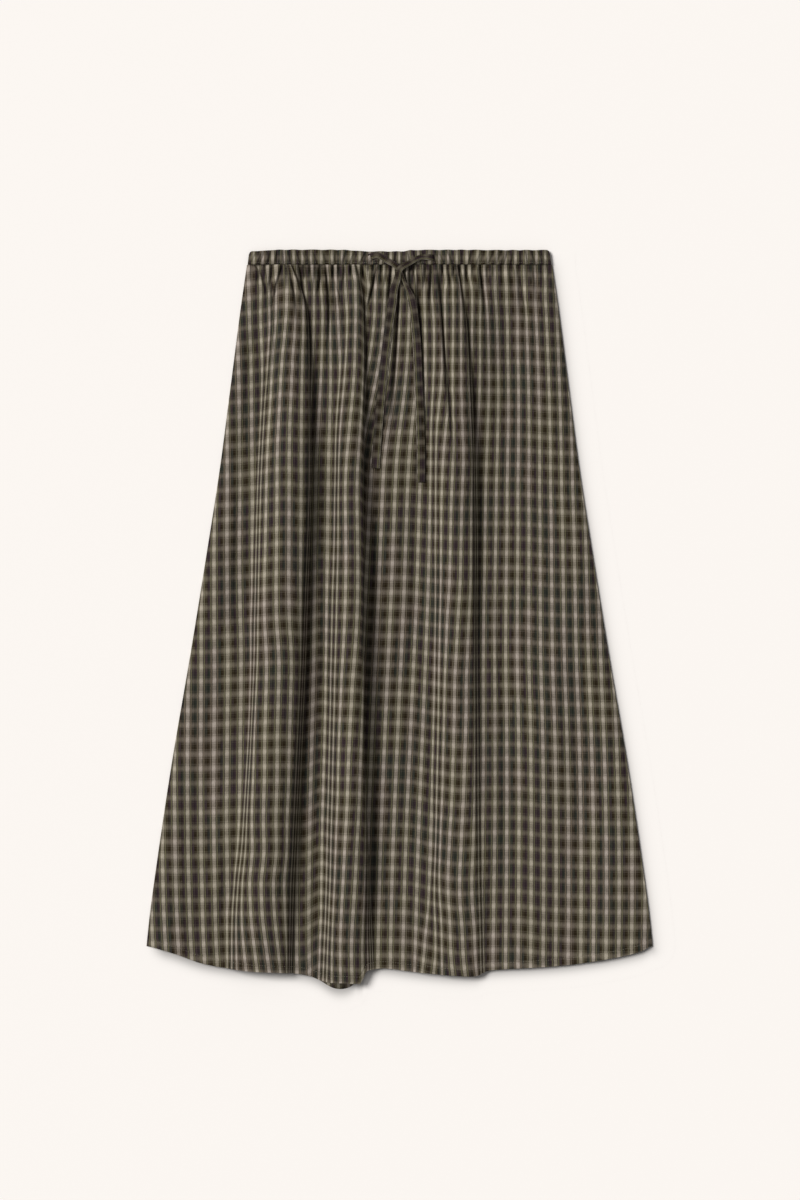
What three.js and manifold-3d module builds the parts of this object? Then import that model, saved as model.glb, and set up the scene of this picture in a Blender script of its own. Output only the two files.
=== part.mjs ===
// An elastic-waist skirt in woven check, laid flat on its back panel, with a flat tie at the waist.
// Millimetres. +Z is up, +Y points to the waistband, +X to the right of someone looking down at it.
// The origin is on the surface, under the middle of the skirt's own box.
import * as THREE from "three";
import { mergeVertices } from "three/addons/utils/BufferGeometryUtils.js";
import Module from "manifold-3d";

const { smoothstep, clamp, lerp } = THREE.MathUtils;

// ---------------------------------------------------------------- driving dimensions
const LENGTH = 857; // top of the waistband to the lowest point of the hem
const WAIST = 352; // width of the relaxed waistband, laid flat
const BAND_HEIGHT = 18; // elastic casing
const CLOTH = 1.2; // wall of one panel
const SEAM_GAP = 0.3; // between pieces that are sewn together
const BAND_WALL = 2.4; // two layers of cloth with the elastic between them
const RIB = 2; // height of the casing's ruched ribs
const RIB_COUNT = 36;
const SIDE_ROLL = 26; // how far in from a side seam the front panel reaches its full rise
const TIE_WIDTH = 9.5;
const TIE_WALL = 1.6; // folded strip of the same cloth
const SLIT_WIDTH = 1.6; // where a tie leaves the casing
const SLIT_HEIGHT = 11;

const TOP = LENGTH / 2; // top edge of the waistband
const SEAM = TOP - BAND_HEIGHT; // where band and panels meet; "down" is measured from here
const BACK_TOP = CLOTH; // upper face of the back panel, which lies on the surface
const FRONT_LOW = BACK_TOP + SEAM_GAP + CLOTH; // lowest that the front panel's outer face can be
const BAND_UNDER = BAND_WALL + SEAM_GAP; // underside of the front band
const BAND_FACE = BAND_UNDER + BAND_WALL; // outer face of the front band, between its ribs

// ---------------------------------------------------------------- tables of the form
// Half of the width from side seam to side seam.
const SIDES = [
  { down: 0, half: 176 },
  { down: 52, half: 183.5 },
  { down: 145, half: 195.5 },
  { down: 238, half: 207.7 },
  { down: 330, half: 222 },
  { down: 446, half: 240.7 },
  { down: 586, half: 264.5 },
  { down: 725, half: 285 },
  { down: 771, half: 290.6 },
  { down: 840, half: 297 },
];

// Where each hem ends, from left to right.
const FRONT_HEM = [
  { x: -293, down: 790 },
  { x: -265, down: 798 },
  { x: -233, down: 809 },
  { x: -208, down: 814 },
  { x: -173, down: 818 },
  { x: -133, down: 820 },
  { x: -105, down: 824 },
  { x: -90, down: 829.5 },
  { x: -80, down: 831.5 },
  { x: -62, down: 832 },
  { x: -50, down: 833 },
  { x: -44, down: 832.5 },
  { x: -38.5, down: 819 },
  { x: -34, down: 817 },
  { x: -17, down: 815.5 },
  { x: 12, down: 819 },
  { x: 31, down: 821 },
  { x: 69, down: 824 },
  { x: 89, down: 824 },
  { x: 103, down: 818 },
  { x: 149, down: 815 },
  { x: 192, down: 812 },
  { x: 235, down: 806 },
  { x: 278, down: 797 },
  { x: 293, down: 790 },
];
const BACK_HEM = [
  { x: -293, down: 790 },
  { x: -208, down: 811 },
  { x: -125, down: 817 },
  { x: -98, down: 826 },
  { x: -74, down: 839 },
  { x: -55, down: 836 },
  { x: -36, down: 816 },
  { x: 40, down: 813 },
  { x: 149, down: 812 },
  { x: 235, down: 804 },
  { x: 293, down: 790 },
];

// How far the front panel lies above the surface away from its folds: at its sides, and
// between them, where the gathers puff it up.
const LEVELS = [
  { down: 0, sides: 5, middle: 6 },
  { down: 20, sides: 6.5, middle: 13 },
  { down: 60, sides: 7, middle: 16 },
  { down: 150, sides: 6.5, middle: 14 },
  { down: 260, sides: 6.2, middle: 9 },
  { down: 400, sides: 6.2, middle: 6.5 },
  { down: 840, sides: 5.2, middle: 5.2 },
];
const PUFFED = { start: -165, full: -125, fading: 85, end: 130 };

// The three large folds. Each rises from its foot to its crest, sinks by its drop up to
// its brink and falls to its toe.
const LEFT_FOLD = [
  { down: 0, foot: -150, crest: -143, brink: -129, toe: -124, height: 2, drop: 0 },
  { down: 20, foot: -150, crest: -141, brink: -120, toe: -115, height: 4, drop: 0 },
  { down: 50, foot: -152, crest: -142, brink: -110, toe: -105, height: 6, drop: 0 },
  { down: 100, foot: -158, crest: -148, brink: -106.5, toe: -101, height: 9, drop: 0 },
  { down: 150, foot: -163, crest: -150, brink: -106, toe: -99.5, height: 13, drop: 0 },
  { down: 260, foot: -171, crest: -155, brink: -106, toe: -97, height: 20, drop: 1 },
  { down: 400, foot: -175, crest: -157, brink: -112, toe: -102, height: 20, drop: 2 },
  { down: 560, foot: -180, crest: -166, brink: -120, toe: -110, height: 18, drop: 3 },
  { down: 700, foot: -196, crest: -171, brink: -127, toe: -117, height: 17, drop: 4 },
  { down: 830, foot: -226, crest: -174, brink: -132, toe: -122, height: 10, drop: 2 },
];
const MIDDLE_FOLD = [
  { down: 0, foot: -62, crest: -58, brink: -54, toe: -49, height: 2, drop: 0 },
  { down: 30, foot: -60, crest: -55, brink: -46.5, toe: -41.5, height: 4, drop: 0 },
  { down: 53, foot: -62, crest: -55, brink: -43.5, toe: -39, height: 5, drop: 0 },
  { down: 100, foot: -68, crest: -58, brink: -42.5, toe: -37, height: 6, drop: 0 },
  { down: 180, foot: -78, crest: -65, brink: -43, toe: -36, height: 10, drop: 0 },
  { down: 260, foot: -80, crest: -66, brink: -44, toe: -37, height: 14, drop: 0 },
  { down: 330, foot: -82, crest: -66, brink: -43, toe: -37, height: 18, drop: 0 },
  { down: 400, foot: -86, crest: -67, brink: -43, toe: -37, height: 20, drop: 0 },
  { down: 560, foot: -91, crest: -69, brink: -43, toe: -34, height: 19, drop: 0 },
  { down: 700, foot: -96, crest: -70, brink: -41, toe: -29, height: 18, drop: 1 },
  { down: 830, foot: -103, crest: -75, brink: -43, toe: -25, height: 9, drop: 0 },
];
const RIGHT_FOLD = [
  { down: 0, foot: 50, crest: 55, brink: 64, toe: 68, height: 2, drop: 0 },
  { down: 20, foot: 46, crest: 54, brink: 67, toe: 72, height: 3, drop: 0 },
  { down: 63, foot: 38, crest: 48, brink: 74, toe: 79.5, height: 5, drop: 0 },
  { down: 120, foot: 33, crest: 46, brink: 78, toe: 85, height: 8, drop: 0 },
  { down: 180, foot: 31, crest: 47, brink: 81, toe: 89, height: 12, drop: 0 },
  { down: 250, foot: 33, crest: 49, brink: 83, toe: 92, height: 14, drop: 0 },
  { down: 320, foot: 35, crest: 51, brink: 84, toe: 94, height: 13, drop: 0 },
  { down: 400, foot: 37, crest: 53, brink: 84, toe: 94, height: 11, drop: 0 },
  { down: 560, foot: 34, crest: 53, brink: 85, toe: 95, height: 7, drop: 0 },
  { down: 700, foot: 26, crest: 47, brink: 88, toe: 98, height: 5.5, drop: 0 },
  { down: 830, foot: 10, crest: 34, brink: 91, toe: 101, height: 4, drop: 0 },
];

// Soft troughs pressed into the front panel, each running from x at its upper end to its end.
const TROUGHS = [
  { from: 5, to: 480, x: -160, end: -186, width: 13, depth: 7 },
  { from: 560, to: 840, x: -232, end: -236, width: 14, depth: 2 },
  { from: 660, to: 860, x: -196, end: -203, width: 10, depth: 4 },
  { from: 70, to: 860, x: -97, end: -120, width: 5, depth: 2 },
  { from: 120, to: 860, x: -33, end: -24, width: 6, depth: 2 },
  { from: 80, to: 700, x: 88, end: 102, width: 5, depth: 2 },
  { from: 380, to: 860, x: -85, end: -92, width: 12, depth: 5 },
  { from: 330, to: 780, x: 118, end: 130, width: 15, depth: 3.5 },
  { from: 420, to: 860, x: 204, end: 214, width: 16, depth: 2 },
  { from: 220, to: 520, x: 17, end: 20, width: 9, depth: 2 },
  { from: 350, to: 860, x: 26, end: 24, width: 28, depth: 4 },
  { from: 580, to: 860, x: 34, end: 40, width: 10, depth: 2.5 },
];

// Long creases, each through three places on its way down.
const CREASES = [
  { top: 8, topX: -127.5, middle: 36, middleX: -121.5, end: 84, endX: -117.5, depth: 2.4 },
  { top: 0, topX: -86, middle: 30, middleX: -83, end: 104, endX: -82.2, depth: 5 },
  { top: 0, topX: -25, middle: 27, middleX: -31.5, end: 64, endX: -39.5, depth: 3.6 },
  { top: 14, topX: 0.5, middle: 84, middleX: -3, end: 240, endX: -11.5, depth: 5 },
  { top: 8, topX: 20, middle: 100, middleX: 23, end: 260, endX: 29.5, depth: 5 },
  { top: 0, topX: 45, middle: 84, middleX: 50.5, end: 270, endX: 70, depth: 6 },
];
const CREASE_WIDTH = 2.6;

// The gathers' valleys, from left to right: where each starts at the seam, how far down it
// reaches, how deep it is, and how far its lower end has moved aside.
const GATHERS = [
  { x: -171, reach: 26, depth: 1.6, drift: -1 },
  { x: -163, reach: 30, depth: 2.5, drift: -1 },
  { x: -156, reach: 18, depth: 3.5, drift: 0 },
  { x: -147, reach: 40, depth: 3, drift: -5 },
  { x: -136, reach: 60, depth: 3, drift: -14 },
  { x: -131, reach: 34, depth: 3, drift: 3 },
  { x: -117, reach: 40, depth: 4, drift: 7 },
  { x: -110.5, reach: 26, depth: 5, drift: 2 },
  { x: -104, reach: 20, depth: 3, drift: 1 },
  { x: -98, reach: 34, depth: 2.5, drift: 0 },
  { x: -91.3, reach: 44, depth: 5, drift: -3 },
  { x: -77, reach: 28, depth: 3.5, drift: 0 },
  { x: -70.5, reach: 24, depth: 3, drift: 0 },
  { x: -64, reach: 34, depth: 3, drift: 0 },
  { x: -57, reach: 22, depth: 3.5, drift: 1 },
  { x: -43, reach: 26, depth: 3.5, drift: 1 },
  { x: -36, reach: 20, depth: 2.5, drift: 0 },
  { x: -30.5, reach: 24, depth: 2.5, drift: -1 },
  { x: -20.5, reach: 30, depth: 3, drift: -2 },
  { x: -9, reach: 60, depth: 3, drift: -5 },
  { x: -2.5, reach: 26, depth: 4, drift: 0 },
  { x: 4, reach: 40, depth: 3, drift: 1 },
  { x: 11, reach: 60, depth: 3.5, drift: 2 },
  { x: 16.5, reach: 26, depth: 3, drift: 1 },
  { x: 29.5, reach: 40, depth: 3, drift: -1 },
  { x: 37, reach: 60, depth: 3.5, drift: -2 },
  { x: 50, reach: 22, depth: 3, drift: 1 },
  { x: 62, reach: 26, depth: 3.5, drift: 1 },
  { x: 69.5, reach: 20, depth: 3, drift: 1 },
  { x: 77, reach: 28, depth: 4.5, drift: 1 },
  { x: 85, reach: 24, depth: 2.5, drift: 0 },
  { x: 93.5, reach: 50, depth: 3.5, drift: 2 },
  { x: 101, reach: 40, depth: 2.5, drift: 1 },
  { x: 109.5, reach: 24, depth: 2, drift: 1 },
  { x: 118.5, reach: 34, depth: 1.8, drift: 2 },
  { x: 128, reach: 44, depth: 2, drift: 4 },
  { x: 137.5, reach: 70, depth: 2.6, drift: 4 },
  { x: 147, reach: 36, depth: 2, drift: 2 },
  { x: 156, reach: 60, depth: 2.2, drift: 5 },
  { x: 164.5, reach: 30, depth: 2, drift: 2 },
  { x: 171, reach: 28, depth: 2.6, drift: 3 },
];
const GATHER_WIDTH = 2.2; // of a valley at the seam; it is twice as wide at its end
const GATHER_START = 5; // how far below the seam the gathers have their full depth
const GATHER_DEPTH = 1.4; // of the deepest part over the depth in the table

// The middle line of each strand of the tie, from its slit to its free end.
const TIES = [
  {
    name: "tie_left",
    lift: 0,
    route: [
      { x: -35.4, y: 419.2 },
      { x: -24.9, y: 421 },
      { x: -13.3, y: 414.4 },
      { x: -4, y: 408.7 },
      { x: 2.3, y: 399 },
      { x: 5.8, y: 389 },
      { x: 11.5, y: 377.3 },
      { x: 15.5, y: 362 },
      { x: 18.1, y: 341 },
      { x: 20.3, y: 316 },
      { x: 22, y: 276.4 },
      { x: 23.8, y: 235.8 },
      { x: 24.9, y: 195.2 },
      { x: 24.9, y: 158.1 },
    ],
  },
  {
    name: "tie_right",
    lift: TIE_WALL + 2 * SEAM_GAP,
    route: [
      { x: 40, y: 418 },
      { x: 30.7, y: 419 },
      { x: 22.6, y: 418.2 },
      { x: 10.4, y: 411.4 },
      { x: 0.6, y: 405 },
      { x: -2.9, y: 392.4 },
      { x: -6.3, y: 380.7 },
      { x: -8.2, y: 364.6 },
      { x: -12, y: 339.7 },
      { x: -15, y: 318 },
      { x: -18.6, y: 285 },
      { x: -21.9, y: 250 },
      { x: -25.2, y: 212.6 },
      { x: -27.8, y: 174.3 },
    ],
  },
];
const CROSSING = { x: 0.4, y: 404.5, spread: 15 }; // where one strand passes over the other

// ---------------------------------------------------------------- reading the tables
// A smooth curve through one column of a table, held level past its ends.
function column(rows, key, value) {
  const slope = (i) => {
    const a = rows[Math.max(i - 1, 0)];
    const b = rows[Math.min(i + 1, rows.length - 1)];
    return (b[value] - a[value]) / (b[key] - a[key]);
  };
  return (at) => {
    if (at <= rows[0][key]) return rows[0][value];
    const last = rows.length - 1;
    if (at >= rows[last][key]) return rows[last][value];
    const i = rows.findIndex((row) => row[key] > at) - 1;
    const span = rows[i + 1][key] - rows[i][key];
    const t = (at - rows[i][key]) / span;
    const rise = rows[i + 1][value] - rows[i][value];
    const bend = t * t * (3 - 2 * t);
    const start = (t * t * t - 2 * t * t + t) * span * slope(i);
    const finish = (t * t * t - t * t) * span * slope(i + 1);
    return rows[i][value] + rise * bend + start + finish;
  };
}

const halfWidth = column(SIDES, "down", "half");
const frontHem = column(FRONT_HEM, "x", "down");
const backHem = column(BACK_HEM, "x", "down");
const sideLevel = column(LEVELS, "down", "sides");
const middleLevel = column(LEVELS, "down", "middle");
const folds = [LEFT_FOLD, MIDDLE_FOLD, RIGHT_FOLD].map((rows) => ({
  foot: column(rows, "down", "foot"),
  crest: column(rows, "down", "crest"),
  brink: column(rows, "down", "brink"),
  toe: column(rows, "down", "toe"),
  height: column(rows, "down", "height"),
  drop: column(rows, "down", "drop"),
}));

// ---------------------------------------------------------------- the front panel's form
const CROWN = 0.22; // how much a fold's back rises between its crest and its brink

function restLevel(x, down) {
  const { start, full, fading, end } = PUFFED;
  const puff = smoothstep(x, start, full) * (1 - smoothstep(x, fading, end));
  return lerp(sideLevel(down), middleLevel(down), puff);
}

function foldRise(fold, x, down) {
  const [foot, crest] = [fold.foot(down), fold.crest(down)];
  const [brink, toe] = [fold.brink(down), fold.toe(down)];
  if (x <= foot || x >= toe) return 0;
  const along = clamp((x - crest) / (brink - crest), 0, 1);
  const crowned = fold.height(down) * (1 + CROWN * Math.sin(Math.PI * along));
  const back = crowned - fold.drop(down) * along * along;
  return back * smoothstep(x, foot, crest) * (1 - smoothstep(x, brink, toe));
}

function troughDip(trough, x, down) {
  const along = clamp((down - trough.from) / (trough.to - trough.from), 0, 1);
  const ends = smoothstep(along, 0, 0.3) * (1 - smoothstep(along, 0.75, 1));
  const off = (x - lerp(trough.x, trough.end, along)) / trough.width;
  return trough.depth * ends * Math.exp(-off * off);
}

function gatherDip(gather, x, down) {
  const along = clamp(down / gather.reach, 0, 1);
  const off = (x - gather.x - gather.drift * along) / (GATHER_WIDTH * (1 + along));
  const depth = GATHER_DEPTH * gather.depth * (1 - smoothstep(along, 0.25, 1));
  return depth * (0.35 + 0.65 * smoothstep(down, 0, GATHER_START)) * Math.exp(-off * off);
}

// A crease's line is the parabola through its three places.
function creaseDip({ top, topX, middle, middleX, end, endX, depth }, x, down) {
  if (down <= top || down >= end) return 0;
  const path =
    (topX * (down - middle) * (down - end)) / ((top - middle) * (top - end)) +
    (middleX * (down - top) * (down - end)) / ((middle - top) * (middle - end)) +
    (endX * (down - top) * (down - middle)) / ((end - top) * (end - middle));
  const along = (down - top) / (end - top);
  const off = (x - path) / CREASE_WIDTH;
  return depth * smoothstep(along, 0, 0.12) * (1 - smoothstep(along, 0.45, 1)) * Math.exp(-off * off);
}

// Height of the front panel's outer face, "down" below the waist seam.
function frontFace(x, down) {
  let z = restLevel(x, down);
  for (const fold of folds) z += foldRise(fold, x, down);
  for (const trough of TROUGHS) z -= troughDip(trough, x, down);
  for (const gather of GATHERS) z -= gatherDip(gather, x, down);
  for (const crease of CREASES) z -= creaseDip(crease, x, down);
  const inset = clamp((halfWidth(down) - Math.abs(x)) / SIDE_ROLL, 0, 1);
  const roll = Math.sqrt(1 - (1 - inset) ** 2);
  return FRONT_LOW + Math.max(z - FRONT_LOW, 0) * roll;
}

// The inner face stays one wall below the outer one, measured square to it: it is below
// every point of a circle round each place of the outer face.
const LINING_TURNS = [0, 30, 60, 90, 120, 150, 180].map(THREE.MathUtils.degToRad);

function frontLining(x, down) {
  const under = LINING_TURNS.map(
    (turn) => frontFace(x + CLOTH * Math.cos(turn), down) - CLOTH * Math.sin(turn),
  );
  return Math.max(Math.min(...under), BACK_TOP + SEAM_GAP);
}

// ---------------------------------------------------------------- meshes from rows of points
function geometryOf(points, triangles) {
  const geometry = new THREE.BufferGeometry();
  geometry.setAttribute("position", new THREE.Float32BufferAttribute(points.flat(), 3));
  geometry.setIndex(triangles.flat());
  geometry.computeVertexNormals();
  return geometry;
}

// Triangles between two rows of point numbers; the lower row may have every second column only.
function weave(upper, lower) {
  const faces = [];
  const step = (upper.length - 1) / (lower.length - 1);
  for (let i = 0; i + 1 < lower.length; i++) {
    const [a, b] = [upper[i * step], upper[(i + 1) * step]];
    const [c, d] = [lower[i], lower[i + 1]];
    if (step === 1) {
      faces.push([a, c, d], [a, d, b]);
    } else {
      const middle = upper[i * step + 1];
      faces.push([a, c, middle], [middle, c, d], [middle, d, b]);
    }
  }
  return faces;
}

// A closed wall from rows of { outer, inner } points, from the top row down.
function wall(rows) {
  const points = [];
  const numbered = rows.map((row) =>
    row.map(({ outer, inner }) => {
      points.push(outer, inner);
      return points.length - 2;
    }),
  );
  const faces = [];
  for (let r = 0; r + 1 < numbered.length; r++) {
    for (const [a, b, c] of weave(numbered[r], numbered[r + 1])) {
      faces.push([a, b, c], [a + 1, c + 1, b + 1]);
    }
  }
  const left = numbered.map((row) => row[0]);
  const right = numbered.map((row) => row[row.length - 1]);
  const rim = [...left, ...numbered.at(-1).slice(1, -1), ...right.reverse()];
  rim.push(...numbered[0].slice(1, -1).reverse());
  rim.forEach((a, i) => {
    const b = rim[(i + 1) % rim.length];
    faces.push([a, a + 1, b + 1], [a, b + 1, b]);
  });
  return geometryOf(points, faces);
}

// A closed body from rings of points, each ring running clockwise as seen from its last one.
function loft(rings) {
  const count = rings[0].length;
  const faces = [];
  for (let r = 0; r + 1 < rings.length; r++) {
    for (let i = 0; i < count; i++) {
      const j = (i + 1) % count;
      const [a, b] = [r * count + i, r * count + j];
      faces.push([a, b + count, b], [a, a + count, b + count]);
    }
  }
  const end = (rings.length - 1) * count;
  for (let i = 1; i + 1 < count; i++) {
    faces.push([0, i, i + 1], [end, end + i + 1, end + i]);
  }
  return geometryOf(rings.flat(), faces);
}

// ---------------------------------------------------------------- panels
// Cells of the lower part between the guide lines; the gathered part has twice as many.
const CELLS = [9, 3, 4, 3, 7, 3, 5, 3, 19, 3, 6, 3, 22];
const GATHERED_ROWS = [0, 0.007, 0.02, 0.038, 0.062, 0.095, 0.135, 0.18];
const LOWER_ROWS = [0.235, 0.3, 0.37, 0.45, 0.53, 0.61, 0.69, 0.77, 0.84, 0.9, 0.955, 1];
const HEM_LEVEL = 815; // where the columns are spread to meet the hem
const HEM_HALF = 293; // half of the back panel's hem, from corner to corner
const HEM_STEPS = 48;
const SIDE_END = 785; // the sides' table is followed down to here

// The lines that the columns follow: the side seams and each fold's four lines.
const guides = [
  (down) => -halfWidth(down),
  ...folds.flatMap(({ foot, crest, brink, toe }) => [foot, crest, brink, toe]),
  halfWidth,
];

// Fractions across the guide lines, from 0 at the left side seam to 13 at the right one.
function columnsOf(split) {
  const across = [0];
  CELLS.forEach((cells, gap) => {
    for (let i = 1; i <= cells * split; i++) across.push(gap + i / (cells * split));
  });
  return across;
}

function guided(across, down) {
  const gap = Math.min(Math.floor(across), guides.length - 2);
  return lerp(guides[gap](down), guides[gap + 1](down), across - gap);
}

function frontPoint(across, part) {
  const down = part * frontHem(guided(across, HEM_LEVEL));
  const x = guided(across, down);
  const y = SEAM - SEAM_GAP - down;
  return { outer: [x, y, frontFace(x, down)], inner: [x, y, frontLining(x, down)] };
}

function frontPanel() {
  const rowOf = (part, split) => columnsOf(split).map((across) => frontPoint(across, part));
  const gathered = GATHERED_ROWS.map((part) => rowOf(part, 2));
  const lower = LOWER_ROWS.map((part) => rowOf(part, 1));
  return wall([...gathered, ...lower]);
}

// The back panel rests flat, so it is its own outline, one wall thick.
function backPanel() {
  const outline = [];
  const add = (x, down) => outline.push(new THREE.Vector2(x, SEAM - SEAM_GAP - down));
  for (let i = 0; i <= HEM_STEPS; i++) {
    const x = lerp(-HEM_HALF, HEM_HALF, i / HEM_STEPS);
    add(x, backHem(x));
  }
  const sides = SIDES.filter(({ down }) => down < SIDE_END);
  for (const { down, half } of sides.toReversed()) add(half, down);
  for (const { down, half } of sides) add(-half, down);
  const shape = new THREE.Shape(outline);
  return new THREE.ExtrudeGeometry(shape, { depth: CLOTH, bevelEnabled: false });
}

// ---------------------------------------------------------------- waistband
// Ruching of the casing: ribs across its outer face, each a little out of step.
const UNEVEN = [
  { share: 0.35, pace: 1.7, start: 0 },
  { share: 0.2, pace: 0.61, start: 1 },
];

function rib(x) {
  const turn = (x / WAIST + 0.5) * RIB_COUNT;
  let angle = 2 * Math.PI * turn;
  for (const { share, pace, start } of UNEVEN) angle += share * Math.sin(pace * turn + start);
  return (1 + Math.cos(angle)) / 2;
}

const CORNER = 4; // rounding of the band's upper corners
const CELLS_PER_RIB = 4;
const BAND_EDGE = 2.5; // how far the face is rounded towards the seam and the top fold
const FOLD_EDGE = 0.5; // half of the top fold's height
const EDGE_DROP = 0.6; // how far the face has sunk at the top fold
const EDGE_RIB = 0.75; // a rib's height at the rounded edges, over its full height
const SEAM_RIB = 0.3; // and at the seam

function bandTop(x) {
  const inset = clamp((WAIST / 2 - Math.abs(x)) / CORNER, 0, 1);
  return TOP - CORNER * (1 - Math.sqrt(1 - (1 - inset) ** 2));
}

// A band lies on its inner face; its top edge is a fold of the cloth.
function band(under, ribs, cells) {
  const face = under + BAND_WALL;
  const rings = [];
  for (let i = 0; i <= cells; i++) {
    const x = lerp(-WAIST / 2, WAIST / 2, i / cells);
    const raised = ribs * rib(x) * smoothstep(WAIST / 2 - Math.abs(x), 0, CORNER);
    const top = bandTop(x);
    rings.push([
      [x, SEAM, under],
      [x, SEAM, face - SEAM_GAP + SEAM_RIB * raised],
      [x, SEAM + BAND_EDGE, face + EDGE_RIB * raised],
      [x, (SEAM + top) / 2, face + raised],
      [x, top - BAND_EDGE, face + EDGE_RIB * raised],
      [x, top - FOLD_EDGE, face - EDGE_DROP],
      [x, top, (under + face) / 2],
      [x, top - FOLD_EDGE, under],
    ]);
  }
  return loft(rings);
}

const wasm = await Module();
wasm.setup();

function solidOf(geometry) {
  const bare = geometry.clone();
  bare.deleteAttribute("normal");
  bare.deleteAttribute("uv");
  const merged = mergeVertices(bare, 1e-4);
  const vertProperties = merged.attributes.position.array;
  const triVerts = new Uint32Array(merged.index.array);
  return new wasm.Manifold(new wasm.Mesh({ numProp: 3, vertProperties, triVerts }));
}

function meshOf(solid) {
  const { vertProperties, triVerts } = solid.getMesh();
  const geometry = new THREE.BufferGeometry();
  geometry.setAttribute("position", new THREE.Float32BufferAttribute(vertProperties, 3));
  geometry.setIndex([...triVerts]);
  geometry.computeVertexNormals();
  return geometry;
}

// The front band has a slit through it where each strand of the tie comes out.
function frontBand() {
  let solid = solidOf(band(BAND_UNDER, RIB, RIB_COUNT * CELLS_PER_RIB));
  for (const { route } of TIES) {
    const slit = new THREE.BoxGeometry(SLIT_WIDTH, SLIT_HEIGHT, 4 * BAND_WALL);
    slit.translate(route[0].x, route[0].y, BAND_FACE);
    solid = solid.subtract(solidOf(slit));
  }
  return meshOf(solid);
}

const backBand = () => band(0, 0, RIB_COUNT);

// ---------------------------------------------------------------- tie
const TIE_STEPS = 52;
const FEELERS = 3; // steps to each side when feeling for the highest cloth under the tie
const TIE_ROUND = 0.5; // rounding of the strip's edges

function faceBelow(x, y) {
  const down = SEAM - y;
  return down > 0 ? frontFace(x, down) : BAND_FACE + RIB * rib(x);
}

// The highest point of the skirt within a distance of a place.
function highest(x, y, reach) {
  let most = 0;
  for (let i = -FEELERS; i <= FEELERS; i++) {
    for (let j = -FEELERS; j <= FEELERS; j++) {
      most = Math.max(most, faceBelow(x + (reach * i) / FEELERS, y + (reach * j) / FEELERS));
    }
  }
  return most;
}

// A strand lies on the skirt along its route, the upper one over the lower at the crossing.
function tieCurve({ route, lift }) {
  const flat = new THREE.CatmullRomCurve3(route.map(({ x, y }) => new THREE.Vector3(x, y, 0)));
  const knot = highest(CROSSING.x, CROSSING.y, CROSSING.spread);
  const points = flat.getSpacedPoints(TIE_STEPS).map(({ x, y }) => {
    const away = Math.hypot(x - CROSSING.x, y - CROSSING.y) / CROSSING.spread;
    const crossing = 1 - smoothstep(away, 0.8, 2);
    const under = Math.max(highest(x, y, TIE_WIDTH / 2 + 1), lerp(0, knot, crossing));
    return new THREE.Vector3(x, y, under + SEAM_GAP + TIE_WALL / 2 + lift * crossing);
  });
  return new THREE.CatmullRomCurve3(points);
}

// The strip's section: its wall along the sweep's first axis, its width along the second.
function tieSection() {
  const [w, h] = [TIE_WIDTH / 2, TIE_WALL / 2];
  const corners = [
    [-h, -w + TIE_ROUND],
    [-h + TIE_ROUND, -w],
    [h - TIE_ROUND, -w],
    [h, -w + TIE_ROUND],
    [h, w - TIE_ROUND],
    [h - TIE_ROUND, w],
    [-h + TIE_ROUND, w],
    [-h, w - TIE_ROUND],
  ];
  return new THREE.Shape(corners.map(([x, y]) => new THREE.Vector2(x, y)));
}

function tie(strand) {
  const extrudePath = tieCurve(strand);
  return new THREE.ExtrudeGeometry(tieSection(), { steps: TIE_STEPS, extrudePath });
}

// ---------------------------------------------------------------- the skirt
const cloth = (color) => new THREE.MeshStandardMaterial({ color, roughness: 0.9, metalness: 0 });

function piece(name, geometry, material) {
  const mesh = new THREE.Mesh(geometry, material);
  mesh.name = name;
  return mesh;
}

const skirt = new THREE.Group();
skirt.add(
  piece("front_panel", frontPanel(), cloth(0x57504a)),
  piece("back_panel", backPanel(), cloth(0x4d4640)),
  piece("waistband_front", frontBand(), cloth(0x5d564e)),
  piece("waistband_back", backBand(), cloth(0x524b44)),
  ...TIES.map((strand) => piece(strand.name, tie(strand), cloth(0x4a433c))),
);

export default skirt;
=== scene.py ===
# %% [markdown]
# # An elastic-waist skirt, laid flat
# The skirt is two gathered panels of fine woven check, a ruched elastic casing and a flat
# tie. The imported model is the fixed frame: it holds the pieces at their real size, and this
# script gives each of them its cloth, its folds and its sewing. Lengths are worked out in
# millimetres, as a pattern cutter would write them, and become metres in each mesh.

# %% Load the frame
import math

import bmesh
import bpy
import numpy as np
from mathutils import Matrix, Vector
from mathutils.bvhtree import BVHTree


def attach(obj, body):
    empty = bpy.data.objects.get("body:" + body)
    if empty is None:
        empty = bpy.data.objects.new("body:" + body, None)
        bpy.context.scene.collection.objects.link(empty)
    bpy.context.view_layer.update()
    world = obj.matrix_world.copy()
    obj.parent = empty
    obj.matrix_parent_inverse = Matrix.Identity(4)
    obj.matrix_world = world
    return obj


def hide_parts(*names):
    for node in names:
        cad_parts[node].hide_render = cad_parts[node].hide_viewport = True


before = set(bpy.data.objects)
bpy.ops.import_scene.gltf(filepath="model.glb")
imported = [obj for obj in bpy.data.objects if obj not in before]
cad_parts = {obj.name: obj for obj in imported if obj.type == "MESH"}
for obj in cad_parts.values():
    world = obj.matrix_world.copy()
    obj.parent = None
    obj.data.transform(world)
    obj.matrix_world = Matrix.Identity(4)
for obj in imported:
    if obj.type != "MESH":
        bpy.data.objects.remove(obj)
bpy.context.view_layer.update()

MM = 0.001
print("frame:", sorted(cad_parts))

# %% [markdown]
# ## Camera, floor and light
# The skirt lies on a pale table and is seen from straight above, with the waistband away
# from the viewer. A long lens keeps the folds from leaning outwards. One wide lamp shines
# from the upper left, so that each fold is bright on its left side and dark on its right,
# and a pale surround fills the shadows a little.

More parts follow.
